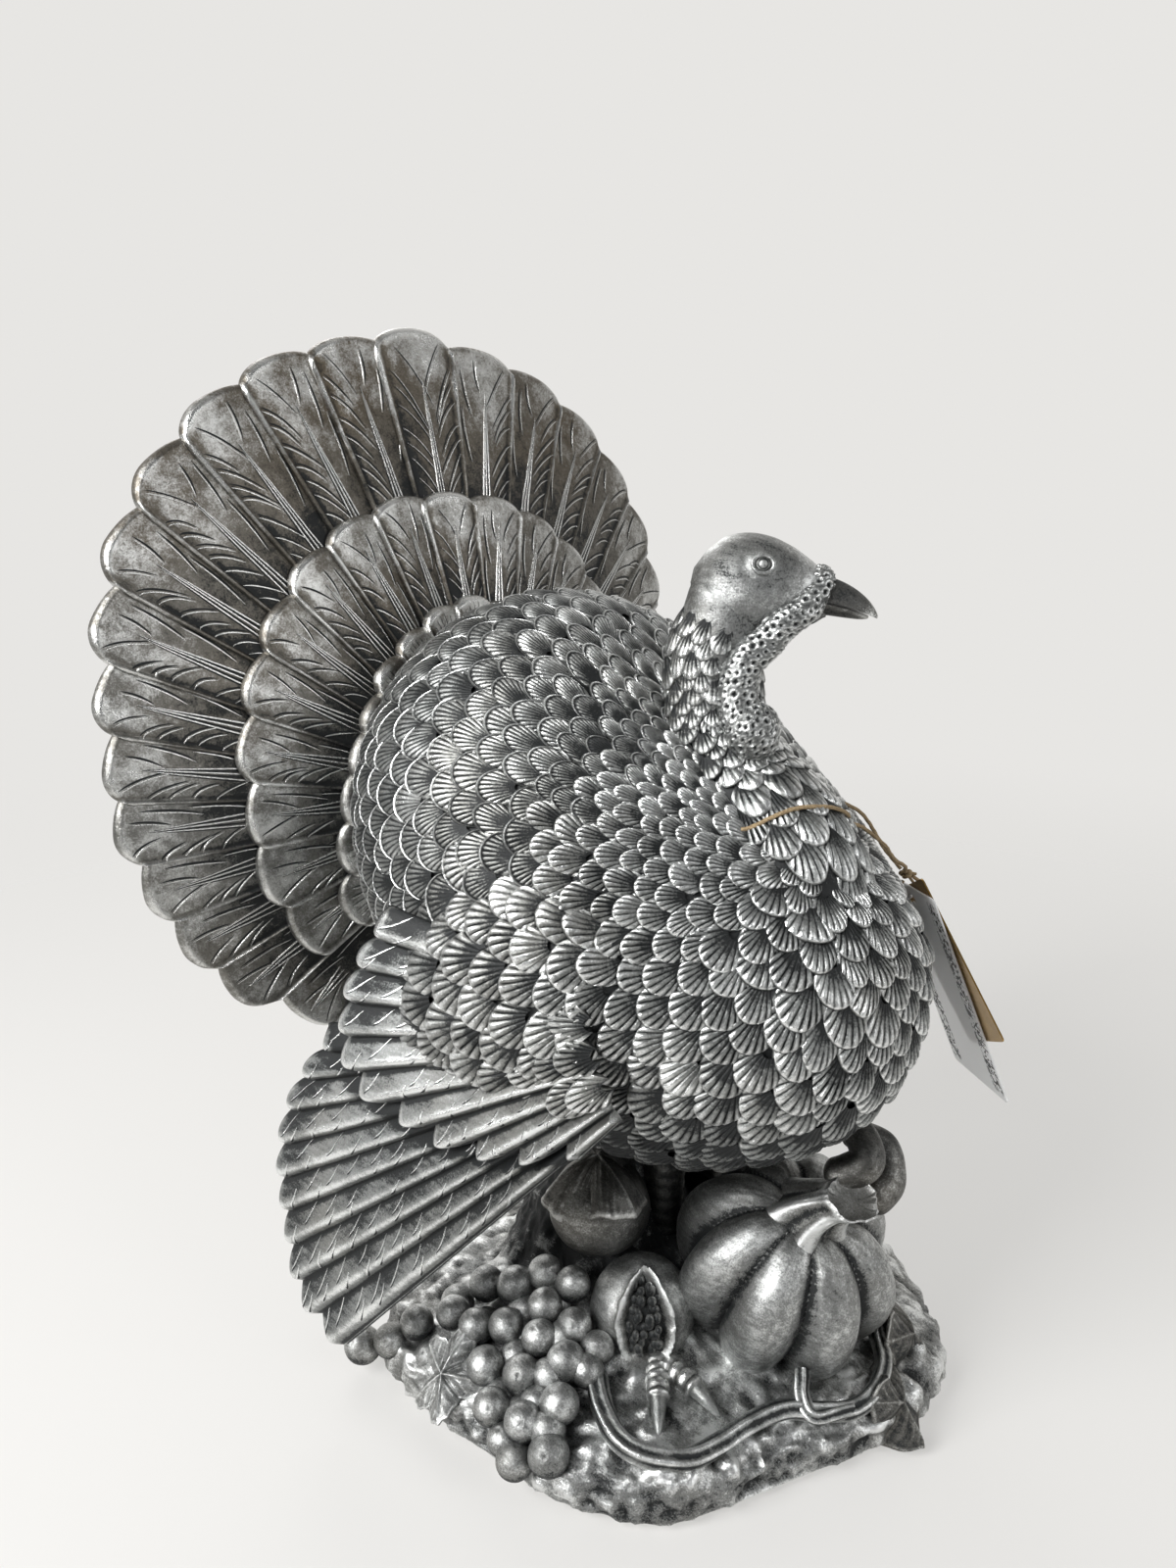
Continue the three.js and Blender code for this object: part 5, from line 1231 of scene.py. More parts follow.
def wing_tier(mesh, side, shares, reach, start, height, columns, pitch, bright, deep, over=0.0):
    shares = np.array(shares, float)
    last = len(shares) - 1
    for i in range(last + 1):
        angle, share = shares[i]
        before = (shares[i - 1][0] + angle) / 2 if i else angle - (shares[1][0] - angle) / 2
        after = (shares[i + 1][0] + angle) / 2 if i < last else 2 * angle - before
        middle, half = rad((before + after) / 2), rad((after - before) / 2)
        reach_mm = share * reach
        depth = half * reach_mm * 0.6
        inner = shares[max(i - 1, 0)][1]
        outer = shares[min(i + 1, last)][1]
        notch = [max(0, (share - inner) * reach) + depth, max(0, (share - outer) * reach) + depth]
        shown = reach_mm - (start + 3.0 * max(0, 12 - angle))
        seed = i * 31 + side * 9

        def radius_at(ss, vv):
            drop = np.where(ss < 0, notch[0], notch[1]) * (1 - np.sqrt(np.maximum(1 - ss * ss, 0)))
            return reach_mm - drop * np.clip(1 - vv / (shown * 0.7), 0, 1) - vv

        def top_up(ss, vv):
            u = ss * half * radius_at(ss, vv)
            up = 0.1 + 3.4 * smooth(-1.0, 0.3, ss) - 3.0 * smooth(0.4, 1.0, ss)
            up = up - np.exp(-vv / 2.2) * 2.0 + bell(vv, 3.4, 2.2) * 0.35
            return up + noise(stacked(u, vv * 0.25, 0 * u + seed), 3.5, 6) * 0.22

        def on_wing(ss, vv, up):
            r = radius_at(ss, vv)
            a = middle + ss * (half + 0.014 * (ss < 0))
            rear, rise = r * np.cos(a), -r * np.sin(a)
            return stacked(
                side * (WING_ROOT[0] + WING_SPLAY * rear - WING_LEAN * rise + height + up),
                WING_ROOT[1] + rear,
                WING_ROOT[2] + rise,
            )

        s = -np.cos(np.linspace(0, math.pi, columns)) * 0.4 + np.linspace(-0.6, 0.6, columns)
        ss, vv = grid(s, np.concatenate([[0, 0.3, 0.9, 1.7], np.linspace(2.8, shown, int(shown / pitch))]))
        tone = 0.16 + bright + 0.5 * bell(ss, 0.34, 0.3) + bell(vv, 2.4, 1.6) * 0.3
        tone = tone - smooth(-0.5, -0.85, ss) * 0.6 - smooth(0.72, 0.92, ss) * 0.6
        tone = tone + noise(stacked(ss * 8, vv, 0 * ss + i), 15, 3) * 0.2
        tone = tone + deep * (bell(vv, 1.5, 1.3) * 0.5 - smooth(0.6, 0.1, vv) * 0.9 - 0.16 * (angle < 15))
        # Below the coverts' tips the primaries are darkened for 13 mm: wash in the step there, widened into a
        # painted shadow of the tips.
        covered = np.interp(angle + np.degrees(ss * half), *np.array(covert_shares).T) * over
        tone = tone - 0.75 * smooth(13, 1, radius_at(ss, vv) - covered) * (over > 0)
        if i == last:
            tone = tone + bell(ss, 0.93, 0.04) * 0.9
        low = -1.4 - 0.5 * (1 - ss * ss) + 0.4 * bell(ss, -0.95, 0.1)
        low_tone = 0.34 + 0.2 * bell(ss, 0, 0.5) - bell(np.abs(ss), 1, 0.1) * 0.3
        rings = np.concatenate([on_wing(ss, vv, top_up(ss, vv)), on_wing(ss, vv, low)[:, ::-1]], 1)
        mesh.loft(rings, np.concatenate([tone, low_tone[:, ::-1]], 1))

        def width_at(v):
            return half * (reach_mm - v)

        def on_top(ss, vv, up):
            return on_wing(ss, vv, top_up(ss, vv) + up)

        slivers(mesh, on_top, width_at, wing_strokes(width_at(shown * 0.4), shown * 0.85, deep))


# Plumes over the inner ends of the coverts, in rows round the wing's root.
ROOT_PLUME_WIDE, ROOT_PLUME_LONG, ROOT_PLUME_LIFT = 11.5, 8.8, 2.2


def root_plumes(mesh, side):
    def at(r, a):
        rear, rise = r * np.cos(a), -r * np.sin(a)
        out = side * (WING_ROOT[0] + WING_SPLAY * rear - WING_LEAN * rise + ROOT_PLUME_LIFT)
        return stacked(out, WING_ROOT[1] + rear, WING_ROOT[2] + rise)

    for row, (r, low, high) in enumerate(((46, 8, 48), (54.5, 5, 41), (63, 3, 29))):
        step = ROOT_PLUME_WIDE / r
        a = np.arange(rad(low) + step / 2 * (row % 2), rad(high), step)
        r = r + rng.normal(0, 0.6, len(a))
        down = unit(at(r + 1, a) - at(r - 1, a))
        out = np.cross(down, at(r, a + 0.02) - at(r, a - 0.02))
        out = unit(out * np.sign(out[:, :1] * side))
        wide, long = np.full(len(a), ROOT_PLUME_WIDE), np.full(len(a), ROOT_PLUME_LONG)
        spots = at(r, a), down, np.cross(down, out), out, wide, long
        breast_plume.place(mesh, spots, lambda flat: flat)


def make_wings():
    for side, word in ((-1, "right"), (1, "left")):
        coverts = Mesh()
        wing_tier(coverts, side, covert_shares, COVERT_REACH, 46, 0, 24, 2.0, 0.2, 1)
        root_plumes(coverts, side)
        coverts.piece(f"{word}_covert_feathers", silver, f"{word}_wing_coverts", crease=48)
        primaries = Mesh()
        wing_tier(primaries, side, primary_shares, PRIMARY_REACH, 62, -4.4, 24, 2.2, 0.08, 0, COVERT_REACH)
        primaries.piece(f"{word}_flight_feathers", silver, f"{word}_wing_primaries", crease=48)


make_wings()

# Base: rough ground with lumps and pits, a foot rubbed bright and a mound darkened with painted shade.
base_shares = np.array([
    1.04, 1.05, 1.07, 1.05, 1.0, 0.96, 0.94, 0.97, 1.03, 1.1, 1.13, 1.08, 1.03, 1.03, 1.07, 1.08, 1.03, 1.02, 1.08,
    1.16, 1.18, 1.13, 1.08, 1.05,
])
BASE_RADIUS = 100
FOOT_Z = 1.3
MOUND_OFFSET = 22
BASE_COLUMNS = 400


def cubic(a, b, c, d, t):
    return b + 0.5 * t * (c - a + t * (2 * a - 5 * b + 4 * c - d + t * (3 * (b - c) + d - a)))


def base_radius(angle):
    k = angle / TURN * len(base_shares)
    i = np.floor(k).astype(int)
    near = [base_shares[(i + step) % len(base_shares)] for step in (-1, 0, 1, 2)]
    return BASE_RADIUS * cubic(*near, k - i)


# Rings between given rings, along a smooth line.
def fill_rings(control, count):
    place = np.linspace(0, len(control) - 1, count)
    i = np.minimum(place.astype(int), len(control) - 2)
    t = (place - i)[:, None, None]
    last = len(control) - 1
    return cubic(control[np.maximum(i - 1, 0)], control[i], control[i + 1], control[np.minimum(i + 2, last)], t)


def ring_normals(rings):
    down = np.gradient(rings, axis=0)
    onward = np.roll(rings, -1, axis=1) - np.roll(rings, 1, axis=1)
    return unit(np.cross(onward, down))


def make_base():
    turn = round_turn(BASE_COLUMNS)
    outline = base_radius(turn)
    flat = np.stack([np.cos(turn), np.sin(turn)], 1)
    control = []
    for share, z in ((0.95, FOOT_Z), (0.985, 2.6), (0.995, 7), (0.99, 14), (0.93, 20.3), (0.8, 24.6), (0.6, 32.3)):
        control.append(np.concatenate([flat * (outline * share)[:, None], np.full((BASE_COLUMNS, 1), z)], 1))
    for radius, z in ((39.2, 50), (29.7, 74.5), (27, 118)):
        ring = flat * radius + vec(0, MOUND_OFFSET)
        control.append(np.concatenate([ring, np.full((BASE_COLUMNS, 1), z)], 1))
    rings = fill_rings(np.array(control), 140)
    out = ring_normals(rings)
    z = rings[..., 2]
    lumps = rough(rings, 30, 2, 3)
    ridged = 1 - 2 * np.abs(noise(rings, 11, 9))
    chips = rough(rings, 5.5, 3, 5)
    side = smooth(26, 16, z)
    lift = lumps * (0.9 + 1.3 * side) + ridged * (0.6 + 0.8 * side) + chips * (1.2 + 0.8 * side)
    lift = lift * smooth(FOOT_Z, 5, z) - 0.6
    rings = rings + out * lift[..., None]
    rings[..., 2] = np.maximum(rings[..., 2], FOOT_Z)
    # Painted shade: the mound's middle under the body is darkened (shade), and the base's sides are a little
    # darker than its top (side).
    shade = smooth(70, 40, np.hypot(rings[..., 0], rings[..., 1] - 20)) * smooth(28, 40, z)
    tone = 0.5 + chips * 0.4 + ridged * 0.12 + bell(z, 2.2, 1.3) * 0.4 - shade * 0.6
    tone = tone + bell(z, 20, 3.5) * 0.14 - side * 0.08
    Mesh().loft(rings, tone).piece("rocky_ground", rock_silver, "rock_base")


make_base()

# Pumpkin
PUMPKIN = vec(9.5, -58.5, 54.25)
PUMPKIN_RADIUS, PUMPKIN_HEIGHT, PUMPKIN_LOBES = 43, 78, 8
PUMPKIN_DIP = 5
PUMPKIN_TILT, PUMPKIN_HEADING = rad(28), rad(-115)
TILT_AXIS = (-math.sin(PUMPKIN_HEADING), math.cos(PUMPKIN_HEADING), 0)


def in_pumpkin(p):
    return turned(p, TILT_AXIS, PUMPKIN_TILT) + PUMPKIN


def make_pumpkin():
    polar, turn = grid(np.linspace(0.02, math.pi - 0.02, 96), round_turn(240))
    across = np.abs(np.sin(turn * PUMPKIN_LOBES / 2))
    swell = np.sin(polar)
    radius = (PUMPKIN_RADIUS + 0.6 - 9.0 * (1 - across) ** 1.05) * swell**0.8
    dip = PUMPKIN_DIP * np.exp(-((radius / (PUMPKIN_RADIUS * 0.3)) ** 2))
    z = np.cos(polar) * PUMPKIN_HEIGHT / 2 - np.sign(np.cos(polar)) * dip
    p = round_place(radius, turn, z)
    out = unit(p * vec(1, 1, 1.2))
    seam = bell(across, 0, 0.07)
    beads = seam * (0.55 * np.sin(polar * 95) + 0.3 * noise(p, 2.2, 4))
    wrinkle = noise(stacked(turn * 40, polar * 9, 0 * polar), 1.6, 6) * (1 - seam)
    p = p + out * (beads + wrinkle * 0.1 + rough(p, 14, 2, 2) * 0.35)[..., None]
    tone = 0.6 - 0.5 * bell(across, 0.05, 0.3) + beads * 0.5 + wrinkle * 0.1
    # The pumpkin darkens towards its bottom: painted shade on its underside.
    tone = tone - smooth(1.9, 2.8, polar) * 0.2 + rough(p, 18, 2, 8) * 0.08
    Mesh().loft(in_pumpkin(p), tone).piece("lobed_pumpkin", satin, "pumpkin")


STEM_BEND = vec(5, -10)
STEM_LENGTH, STEM_RADIUS, STEM_FLARE, STEM_SUNK = 23, 8.0, 8.0, 2


def make_stem():
    share = np.concatenate([np.linspace(0, 1, 34), [1.0, 1.0, 1.0]])
    inset = np.concatenate([np.ones(34), [0.94, 0.8, 0.45]])
    drop = np.concatenate([np.zeros(34), [-0.4, 0.9, 1.6]])
    s, t = grid(share, round_turn(100))
    flare = (1 - s) ** 2.2
    radius = STEM_RADIUS + STEM_FLARE * flare + 1.6 * smooth(0.75, 1.0, s)
    ridge = np.cos(t * 5 + s)
    deep = 0.17 - 0.12 * smooth(0.5, 0.95, s)
    radius = radius * (1 + deep * np.sign(ridge) * np.abs(ridge) ** 0.8) * inset[:, None]
    bend = s[..., None] ** 2 * STEM_BEND
    z = s * STEM_LENGTH - drop[:, None]
    p = stacked(radius * np.cos(t) + bend[..., 0], radius * np.sin(t) + bend[..., 1], z)
    fibre = noise(stacked(t * 9, z * 0.12, 0 * t), 1.0, 3)
    p[..., :2] += unit(p[..., :2] - bend) * (fibre * 0.4)[..., None]
    p[..., 2] += PUMPKIN_HEIGHT / 2 - PUMPKIN_DIP - STEM_SUNK
    tone = 0.55 + (0.38 * ridge + fibre * 0.25) * smooth(0.99, 0.85, s) + bell(s, 0.97, 0.03) * 0.3
    tone = tone - (inset[:, None] < 0.9) * 0.2
    Mesh().loft(in_pumpkin(p), tone).piece("ribbed_stem", satin, "pumpkin_stem")


make_pumpkin()
make_stem()

# Pomegranate, split down its front, with the seeds showing
POMEGRANATE = vec(-36, -26, 38.44)
POMEGRANATE_RADIUS = 20.3
pomegranate_shares = np.array([
    [0, 0, -1], [0.4, 0, -0.92], [0.75, 0, -0.66], [0.97, 0, -0.25], [0.99, 0, 0.15], [0.86, 0, 0.55],
    [0.6, 0, 0.86], [0.25, 0, 1.06], [0.01, 0, 1.16],
])
SPLIT_LIFT, SPLIT_HEADING = rad(-20), rad(-43)
SPLIT_OUT, SPLIT_UP = (
    turned(turned(v, (1, 0, 0), SPLIT_LIFT), (0, 0, 1), SPLIT_HEADING) for v in (vec(0, -1, 0), vec(0, 0, 1))
)
SPLIT_SIDE = np.cross(SPLIT_OUT, SPLIT_UP)


# How far inside the split a place on the skin lies, in millimetres.
def split_depth(p):
    b = np.clip((p @ SPLIT_UP - 1.0) / (POMEGRANATE_RADIUS * 0.86), -1.3, 1.3)
    a = np.abs(p @ SPLIT_SIDE)
    half = POMEGRANATE_RADIUS * 0.46 * np.sign(1 - b * b) * np.abs(1 - b * b) ** 0.75 * (1 - 0.12 * b)
    return np.where(p @ SPLIT_OUT > 0, half - a, -9)


def make_pomegranate():
    profile = spline(pomegranate_shares * POMEGRANATE_RADIUS, 90)[0]
    turn = round_turn(180)
    flat = np.stack([np.cos(turn), np.sin(turn)], 1)
    high = np.broadcast_to(profile[:, None, 2:], (90, 180, 1))
    rings = np.concatenate([flat[None] * np.maximum(profile[:, None, :1], 0.2), high], -1)
    out = unit(rings)
    inside = split_depth(rings)
    ragged = noise(rings, 3.2, 4) * 0.5
    cut = smooth(-0.1, 1.3, inside + ragged)
    lip = bell(inside + ragged, -0.75, 0.75)
    crown = smooth(15, 22, rings[..., 2])
    lift = lip * (1.9 + 0.8 * ragged) - cut * 3.6 + rough(rings, 9, 2, 6) * 0.22 * (1 - cut) + crown * ragged * 0.9
    skin = rings + out * lift[..., None]
    # The skin darkens towards the bottom: painted shade on the underside.
    tone = 0.6 + lip * 0.45 - cut * 0.5 + rough(rings, 7, 3, 2) * 0.12 - smooth(-2, -16, rings[..., 2]) * 0.2
    tone = tone - bell(inside, -2.6, 1.0) * 0.2
    Mesh().loft(POMEGRANATE + skin, tone).piece("split_pomegranate", satin, "pomegranate")

    seeds = Mesh()
    shape, pip = ball((0, 0, 0), vec(1, 1, 1), 9, 12)
    for row in range(10):
        for lane in (-1.6, -0.55, 0.6, 1.7):
            b = -12.5 + row * 2.9 + rng.normal(0, 0.6)
            a = lane * 2.7 + rng.normal(0, 0.8)
            flat_place = SPLIT_UP * (b + 1) + SPLIT_SIDE * a
            if split_depth(flat_place + SPLIT_OUT * 12) < 0.6:
                continue
            reach = math.sqrt(max(POMEGRANATE_RADIUS**2 - b * b - a * a, 40)) - 2.0 + rng.normal(0, 0.8)
            half = rng.uniform(1.2, 2.0, 3) * vec(1, 1, 1.2)
            seed = (pip * half) @ np.stack([SPLIT_SIDE, SPLIT_OUT, SPLIT_UP])
            seeds.loft(POMEGRANATE + flat_place + SPLIT_OUT * reach + seed, 0.6 + 0.6 * shape[..., 1])
    seeds.piece("seed_cluster", silver, "pomegranate_seeds")


make_pomegranate()


# Apple
def make_apple():
    polar, turn = grid(np.linspace(0.02, math.pi - 0.02, 60), round_turn(90))
    radius = 20 * np.sin(polar) ** 0.85 * (1 + 0.02 * np.cos(turn * 5) * np.cos(polar))
    dip = 4 * np.exp(-((radius / 6) ** 2))
    z = np.cos(polar) * 18 - np.sign(np.cos(polar)) * dip
    p = round_place(radius, turn, z)
    p = p + unit(p) * (rough(p, 10, 2, 3) * 0.3)[..., None]
    # The apple darkens towards its bottom: painted shade under the belly.
    tone = 0.5 + rough(p, 12, 3, 5) * 0.16 - smooth(4, -14, p[..., 2]) * 0.3
    Mesh().loft(p + vec(-33, 0, 71), tone).piece("round_apple", dark_silver, "apple")


make_apple()

# Grapes: slightly uneven balls, each dimpled where its stalk was
grape_places = [
    [-98, -39, 22], [-103, -27, 15], [-97, -25, 26], [-86, -32, 31], [-99, -10, 24], [-86, -12, 31],
    [-74, -23, 36], [-91, 3, 29], [-74, -9, 38], [-77, 7, 36], [-83, 18, 33], [-65, -2, 43], [-64, 16, 42],
    [-68, 29, 38], [-83, 32, 31], [-92, 44, 25], [-100, 51, 17], [-106, 62, 12], [-63, -16, 41], [-53, -5, 48],
    [-55, 8, 47],
]
extra_grapes = [
    [-88, -22, 26], [-92, -18, 22], [-80, -2, 29], [-90, 10, 21], [-76, 20, 29], [-72, 4, 31], [-66, 9, 35],
    [-94, 33, 17], [-93, -33, 25], [-80, -20, 32], [-92, -7, 22], [-67, -14, 37], [-60, 27, 36], [-76, 38, 29],
    [-70, -30, 34], [-62, -27, 37], [-101, -19, 17], [-58, 0, 40],
]


def make_grapes():
    mesh = Mesh()
    turns = rng.uniform(0, TURN, len(grape_places + extra_grapes))
    for k, place in enumerate(grape_places + extra_grapes):
        size = rng.uniform(6.7, 7.5) if k < len(grape_places) else rng.uniform(5.9, 6.8)
        toward = unit(vec(math.cos(turns[k]) * 0.6, math.sin(turns[k]) * 0.6, 1) + vec(-0.5, -0.5, 0))
        shape, grape = ball(place, size * vec(1, 1, 1.04), 26, 34, toward)
        spot = smooth(0.16, 0.04, np.arccos(np.clip(shape[..., 2], -1, 1)))
        out = unit(grape - np.array(place))
        grape = grape + out * (rough(grape, 8, 2, k) * 0.16 - spot * 0.35)[..., None]
        # Each grape is darker where its surface faces down: painted shade on the grapes' undersides.
        tone = 0.6 - spot * 0.15 + rough(grape, 6, 2, k + 3) * 0.2 - smooth(0.35, -0.6, out[..., 2]) * 0.5
        mesh.loft(grape, tone)
    mesh.piece("grape_cluster", satin, "grape_bunch")


make_grapes()


# Gourds: smooth crooked necks beside the pumpkin's stem
def make_gourd(name, node, shares):
    line = spline(PUMPKIN + PUMPKIN_RADIUS * np.array(shares), 70)[0]
    share = np.linspace(0, 1, 70)
    radius = 7.6 - 2.4 * share
    near_end = np.maximum(np.maximum(0, (share - 0.9) / 0.1), np.maximum(0, (0.12 - share) / 0.12))
    radius *= np.sqrt(np.maximum(0.02, 1 - near_end**2))
    rings = tube(line, radius[:, None], 40)
    rings = rings + unit(rings - line[:, None]) * (rough(rings, 9, 2, 4) * 0.22)[..., None]
    tone = 0.5 + rough(rings, 12, 3, 7) * 0.2
    Mesh().loft(rings, tone).piece(name, dark_silver, node)


make_gourd("crook_gourd_low", "lower_gourd", [
    [0.2, -0.68, 0.82], [0.34, -0.72, 0.87], [0.48, -0.73, 0.95], [0.59, -0.59, 1.16], [0.38, -0.31, 1.29],
])
make_gourd("crook_gourd_high", "upper_gourd", [
    [-0.02, -0.42, 1.02], [0.08, -0.58, 1.12], [0.18, -0.69, 1.25], [0.27, -0.5, 1.43], [0.09, -0.22, 1.48],
])


# Leaves: lobed, veined and cupped, with a ragged bright edge
def make_leaf(name, node, material, place, length, lobes, heading, pitch, cup, curl, base_tone=0.44):
    turn = round_turn(36 * lobes)
    share = np.array([0.02, 0.1, 0.2, 0.3, 0.4, 0.5, 0.6, 0.7, 0.78, 0.86, 0.92, 0.97, 1.0])
    s, t = grid(share, turn)
    wave = np.cos(t * lobes)
    point = (0.5 + 0.5 * wave) ** 0.7
    ragged = 1 + 0.025 * np.cos(t * lobes * 5) * s + 0.03 * np.sin(t * 3 + lobes) * s
    reach = length / 2 * (0.68 + 0.32 * point) * ragged
    x = reach * s * np.cos(t)
    y = reach * s * np.sin(t) * 0.86
    off_axis = np.abs((t * lobes + math.pi) % TURN - math.pi) / lobes
    main_vein = bell(off_axis * s * length / 2, 0, 0.55) * smooth(1.0, 0.85, s)
    run = s * np.cos(off_axis) * length / 2 - 1.3 * s * np.sin(off_axis) * length / 2
    side_vein = bell((run / 4.6) % 1.0, 0.5, 0.13) * smooth(0.04, 0.12, off_axis) * smooth(1.0, 0.85, s)
    pucker = noise(stacked(x, y, 0 * x + lobes), 6, 3)
    fold = s**2 * (np.sin(t * 2 + 0.6) + 0.45 * np.sin(t * 5 + lobes))
    z = length * (cup * s * s + 0.05 * s * wave) + curl * fold + pucker * (0.6 + 0.15 * curl) * s
    veined = main_vein * 0.75 + side_vein * 0.4
    rim = bell(s, 0.985, 0.03)
    top = stacked(x, y, z + 1.0 * (1 - 0.5 * s) + veined + rim * 0.3)
    low = stacked(x, y, z - 1.0 * (1 - 0.5 * s))
    rings = np.concatenate([low, top[::-1]])
    tone = base_tone + main_vein * 0.4 + side_vein * 0.3 + rim * 0.5 + pucker * 0.2
    tones = np.concatenate([0.35 + 0 * tone, tone[::-1]])
    rings = turned(turned(rings, (0, 1, 0), rad(pitch)), (0, 0, 1), rad(heading)) + vec(*place)
    slot = "dark_silver" if name == "draped_leaf" else "antique_silver"
    Mesh().loft(rings, tones).piece(name, material, node, slot=slot)


# The draped leaf under the belly takes the darker silver and a lower tone as painted shade.
make_leaf("draped_leaf", "apple_leaf", dark_silver, (-35, -1, 93.5), 52, 3, 24, -10, -0.3, 4.5, 0.34)
make_leaf("veined_leaf", "grape_leaf", satin, (-100, 17, 22), 36, 5, 0, -48, -0.1, 3.0, 0.4)
make_leaf("folded_leaf_1", "curled_leaf_1", dark_silver, (41, -99, 25), 40, 3, -62, 52, -0.16, 6.0, 0.26)
make_leaf("folded_leaf_2", "curled_leaf_2", dark_silver, (14, -111, 18), 34, 3, -80, 58, -0.16, 5.6, 0.26)

# Vine: three ridges side by side along the ground's edge, with a branch to the pumpkin
vine_points = np.array([
    [-66, -30, 33], [-75, -43, 29], [-79, -59, 26], [-67, -75, 24], [-54, -79, 24], [-42, -81, 25], [-26, -87, 26],
    [-16, -96, 24], [-5, -103, 23], [8, -104, 24], [19, -100, 26], [29, -90, 29],
])
branch_points = np.array([[-12, -84, 33], [-19, -89, 28.5], [-21, -95, 25.5], [-15, -99.5, 24.5], [-7, -103, 24]])


def vine_ridge(share, turn):
    return np.cos(5 * turn + 1.0 + 1.3 * np.sin(share * 9))


def make_vine():
    mesh = Mesh()
    for points, size, count in ((vine_points, 4.2, 170), (branch_points, 3.2, 40)):
        line = spline(points, count)[0]
        line = line + np.stack([0 * line[:, 0], 0 * line[:, 0], noise(line, 14, 3) * 0.7], 1)

        def radius(share, turn, size=size):
            taper = size * (1 - 0.2 * share)
            return taper * (0.9 + 0.13 * vine_ridge(share, turn)) * smooth(0, 0.02, share + 0.004)

        rings = tube(line, radius, 40)
        ridge = vine_ridge(*grid(np.linspace(0, 1, count), round_turn(40)))
        mesh.loft(rings, 0.42 + 0.34 * ridge + noise(rings, 5, 4) * 0.2)
    mesh.piece("ridged_vine", silver, "vine")


make_vine()

# Foot and shanks
HEEL = vec(-45, -42, 29.5)
toe_tips = (vec(-67, -62.5, 24.8), vec(-45.7, -73, 25.7))
CLAW = 13


def make_foot():
    mesh = Mesh()
    mesh.loft(ball(HEEL, vec(5.6, 5.6, 5), 26, 34)[1], 0.3)
    for tip in toe_tips:
        knuckle = HEEL + (tip - HEEL) * 0.55 + vec(0, 0, 3.6)
        line, length = spline([HEEL, knuckle, tip], 90)
        share = np.linspace(0, 1, 90)
        claw_share = CLAW / length
        claw = smooth(1 - claw_share - 0.02, 1 - claw_share + 0.02, share)
        rings_at = share / (1 - claw_share)
        ring = np.abs(np.sin(rings_at * math.pi * 4.5)) ** 0.7
        toe = 4.9 * (0.76 + 0.24 * ring) * (1 - 0.1 * rings_at)
        nail = 3.3 * np.sqrt(np.clip((1 - share) / claw_share, 0.004, 1))
        radius = toe * (1 - claw) + nail * claw
        rings = tube(line, radius[:, None], 32)
        tone = (0.2 + 0.62 * ring) * (1 - claw) + 0.5 * claw
        mesh.loft(rings, np.broadcast_to(tone[:, None], rings.shape[:2]) + noise(rings, 4, 5) * 0.15)
    mesh.piece("clawed_foot", silver, "right_foot")


SHANK_LOW, SHANK_HIGH = 31, 117


def make_shank(name, node, x, y):
    z, t = grid(np.linspace(SHANK_LOW, SHANK_HIGH, 70), round_turn(40))
    share = (z - SHANK_LOW) / 88
    scute = np.abs(np.sin(z * 0.55 + 0.3 * np.cos(t * 3)))
    radius = (7.5 + 5.5 * share**2) * (0.95 + 0.05 * scute)
    rings = stacked(x + radius * np.cos(t), y + radius * np.sin(t), z)
    Mesh().loft(rings, 0.15 + scute * 0.3).piece(name, dark_silver, node)


make_foot()
make_shank("scaly_shank_right", "right_leg", -4, -8)
make_shank("scaly_shank_left", "left_leg", 26, -6)

# Finishes of the CAD nodes that stay
for node, material in {"felt_base": felt, "white_tag": white_card, "gold_tag": gold_card}.items():
    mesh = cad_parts[node].data
    mesh.materials.clear()
    mesh.materials.append(material)

# Stage: pale floor that fades into the backdrop, a soft key from the upper left and weak fills
BACKDROP = (0.80, 0.79, 0.77, 1)
floor_mesh = bpy.data.meshes.new("floor")
floor_mesh.from_pydata([(-4, -4, 0), (4, -4, 0), (4, 4, 0), (-4, 4, 0)], [], [(0, 1, 2, 3)])
floor = bpy.data.objects.new("floor", floor_mesh)
bpy.context.scene.collection.objects.link(floor)
floor.location.z = -0.0004


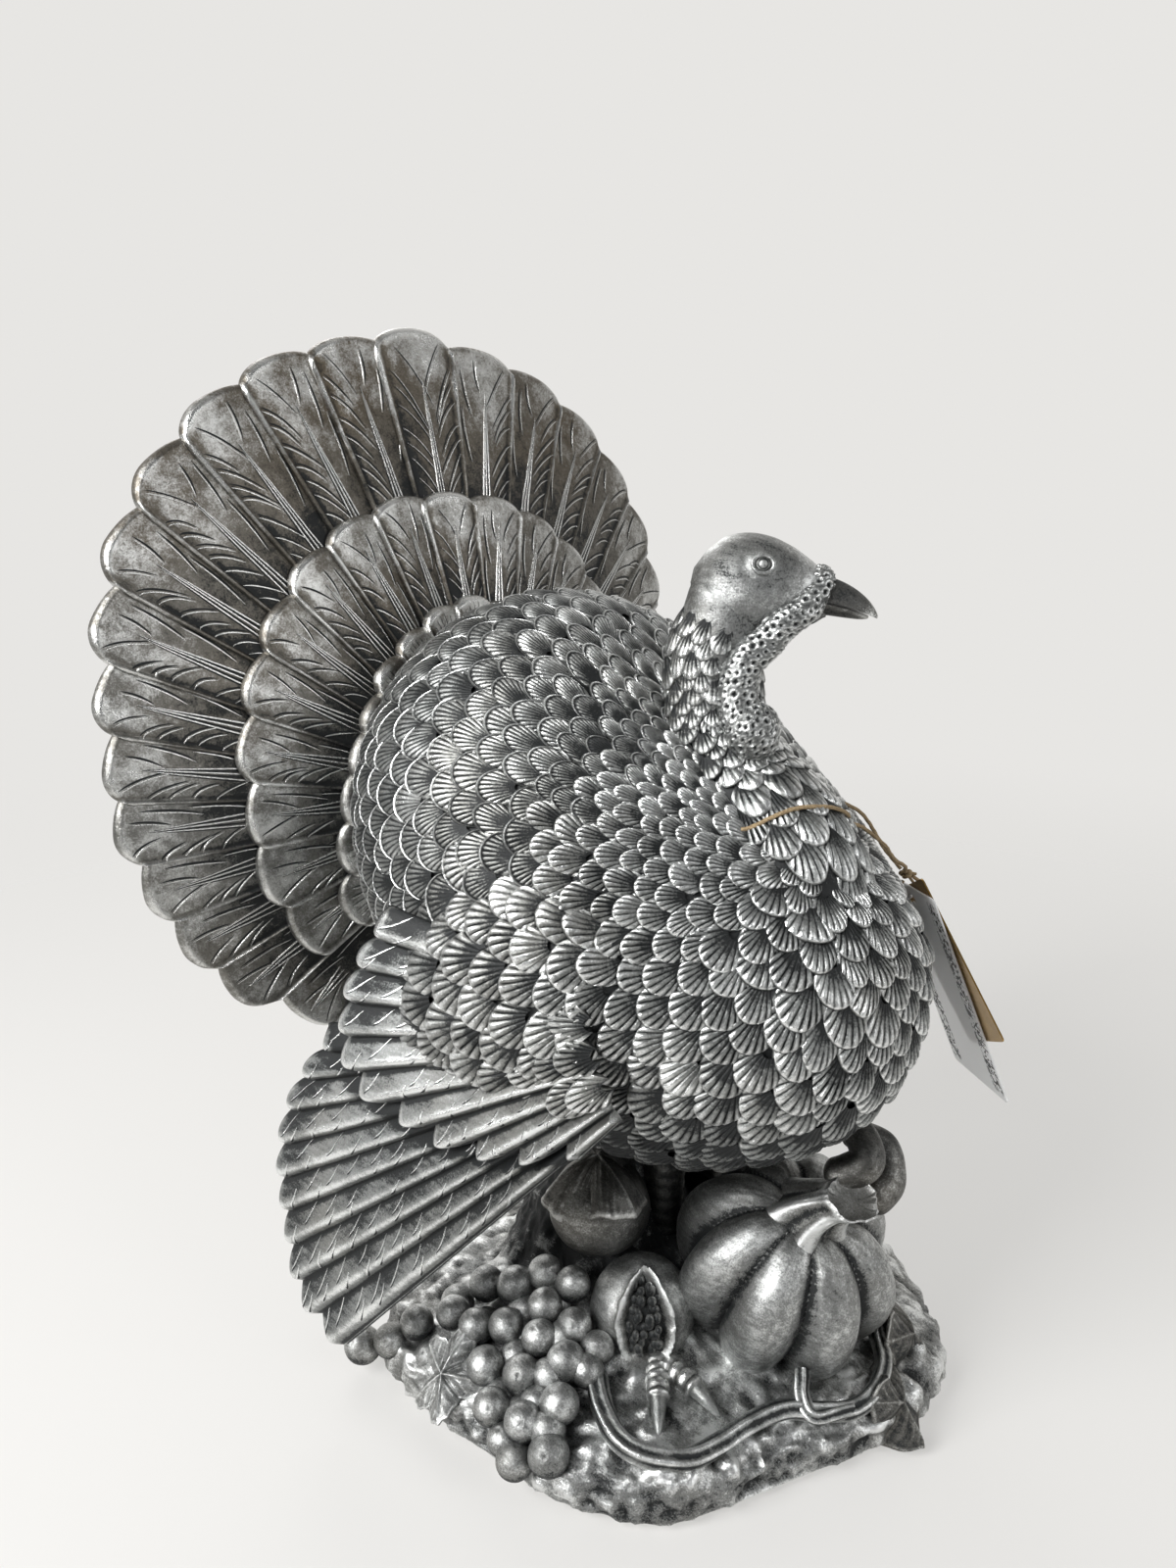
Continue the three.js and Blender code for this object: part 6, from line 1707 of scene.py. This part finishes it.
def stage_material():
    m = Nodes("floor")
    m.surface(Base_Color=BACKDROP, Roughness=0.75)
    x, y, _ = m.parts(m.coords)
    reach = m.math("SQRT", m.math("ADD", m.math("MULTIPLY", x, x), m.math("MULTIPLY", y, y)))
    path = m.tree.nodes.new("ShaderNodeLightPath").outputs
    seen = m.math("MAXIMUM", path["Is Camera Ray"], path["Is Glossy Ray"])
    seen = m.math("MAXIMUM", seen, path["Is Transmission Ray"])
    plain = m.tree.nodes.new("ShaderNodeEmission")
    plain.inputs["Color"].default_value = BACKDROP
    lifted = m.tree.nodes.new("ShaderNodeMixShader")
    m.link(m.math("MULTIPLY", seen, FLOOR_LIFT), lifted.inputs[0])
    m.link(m.shader.outputs[0], lifted.inputs[1])
    m.link(plain.outputs[0], lifted.inputs[2])
    faded = m.tree.nodes.new("ShaderNodeMixShader")
    m.link(m.ramp(reach, 0.3, 1.2), faded.inputs[0])
    m.link(lifted.outputs[0], faded.inputs[1])
    m.link(m.tree.nodes.new("ShaderNodeBsdfTransparent").outputs[0], faded.inputs[2])
    m.link(faded.outputs[0], m.tree.nodes["Material Output"].inputs["Surface"])
    return m.material


FLOOR_LIFT = 0.55
floor_mesh.materials.append(stage_material())


# The room is pale behind the object and dim on the other sides, as a backdrop in a studio is.
def make_world():
    world = bpy.data.worlds.new("room")
    bpy.context.scene.world = world
    world.use_nodes = True
    tree = world.node_tree
    toward = tree.nodes.new("ShaderNodeVectorMath")
    toward.operation = "DOT_PRODUCT"
    toward.inputs[1].default_value = (0.5**0.5, 0.5**0.5, 0)
    pale = tree.nodes.new("ShaderNodeMapRange")
    pale.interpolation_type = "SMOOTHSTEP"
    for key, value in (("From Min", -0.35), ("From Max", 0.78), ("To Min", 0.0), ("To Max", 1.0)):
        pale.inputs[key].default_value = value
    colour = tree.nodes.new("ShaderNodeMix")
    colour.data_type = "RGBA"
    colour.inputs[6].default_value = (0.13, 0.135, 0.14, 1)
    colour.inputs[7].default_value = BACKDROP
    tree.links.new(tree.nodes.new("ShaderNodeTexCoord").outputs["Generated"], toward.inputs[0])
    tree.links.new(toward.outputs["Value"], pale.inputs["Value"])
    tree.links.new(pale.outputs["Result"], colour.inputs["Factor"])
    tree.links.new(colour.outputs[2], tree.nodes["Background"].inputs["Color"])


make_world()


def lamp(name, place, aim, size, power):
    data = bpy.data.lights.new(name, "AREA")
    data.shape = "RECTANGLE"
    data.size, data.size_y = size
    data.energy = power
    made = bpy.data.objects.new(name, data)
    bpy.context.scene.collection.objects.link(made)
    made.location = place
    made.rotation_mode = "QUATERNION"
    made.rotation_quaternion = (Vector(aim) - Vector(place)).to_track_quat("-Z", "Y")


lamp("key", (-1.2, 0.15, 0.9), (0, 0, 0.2), (0.8, 0.8), 26)
lamp("fill", (0.25, -1.5, 0.7), (0, 0, 0.15), (0.9, 0.9), 7)
lamp("rim", (0.6, 1.3, 1.1), (0, 0, 0.25), (0.8, 0.8), 5)

bpy.context.scene.view_settings.view_transform = "Standard"
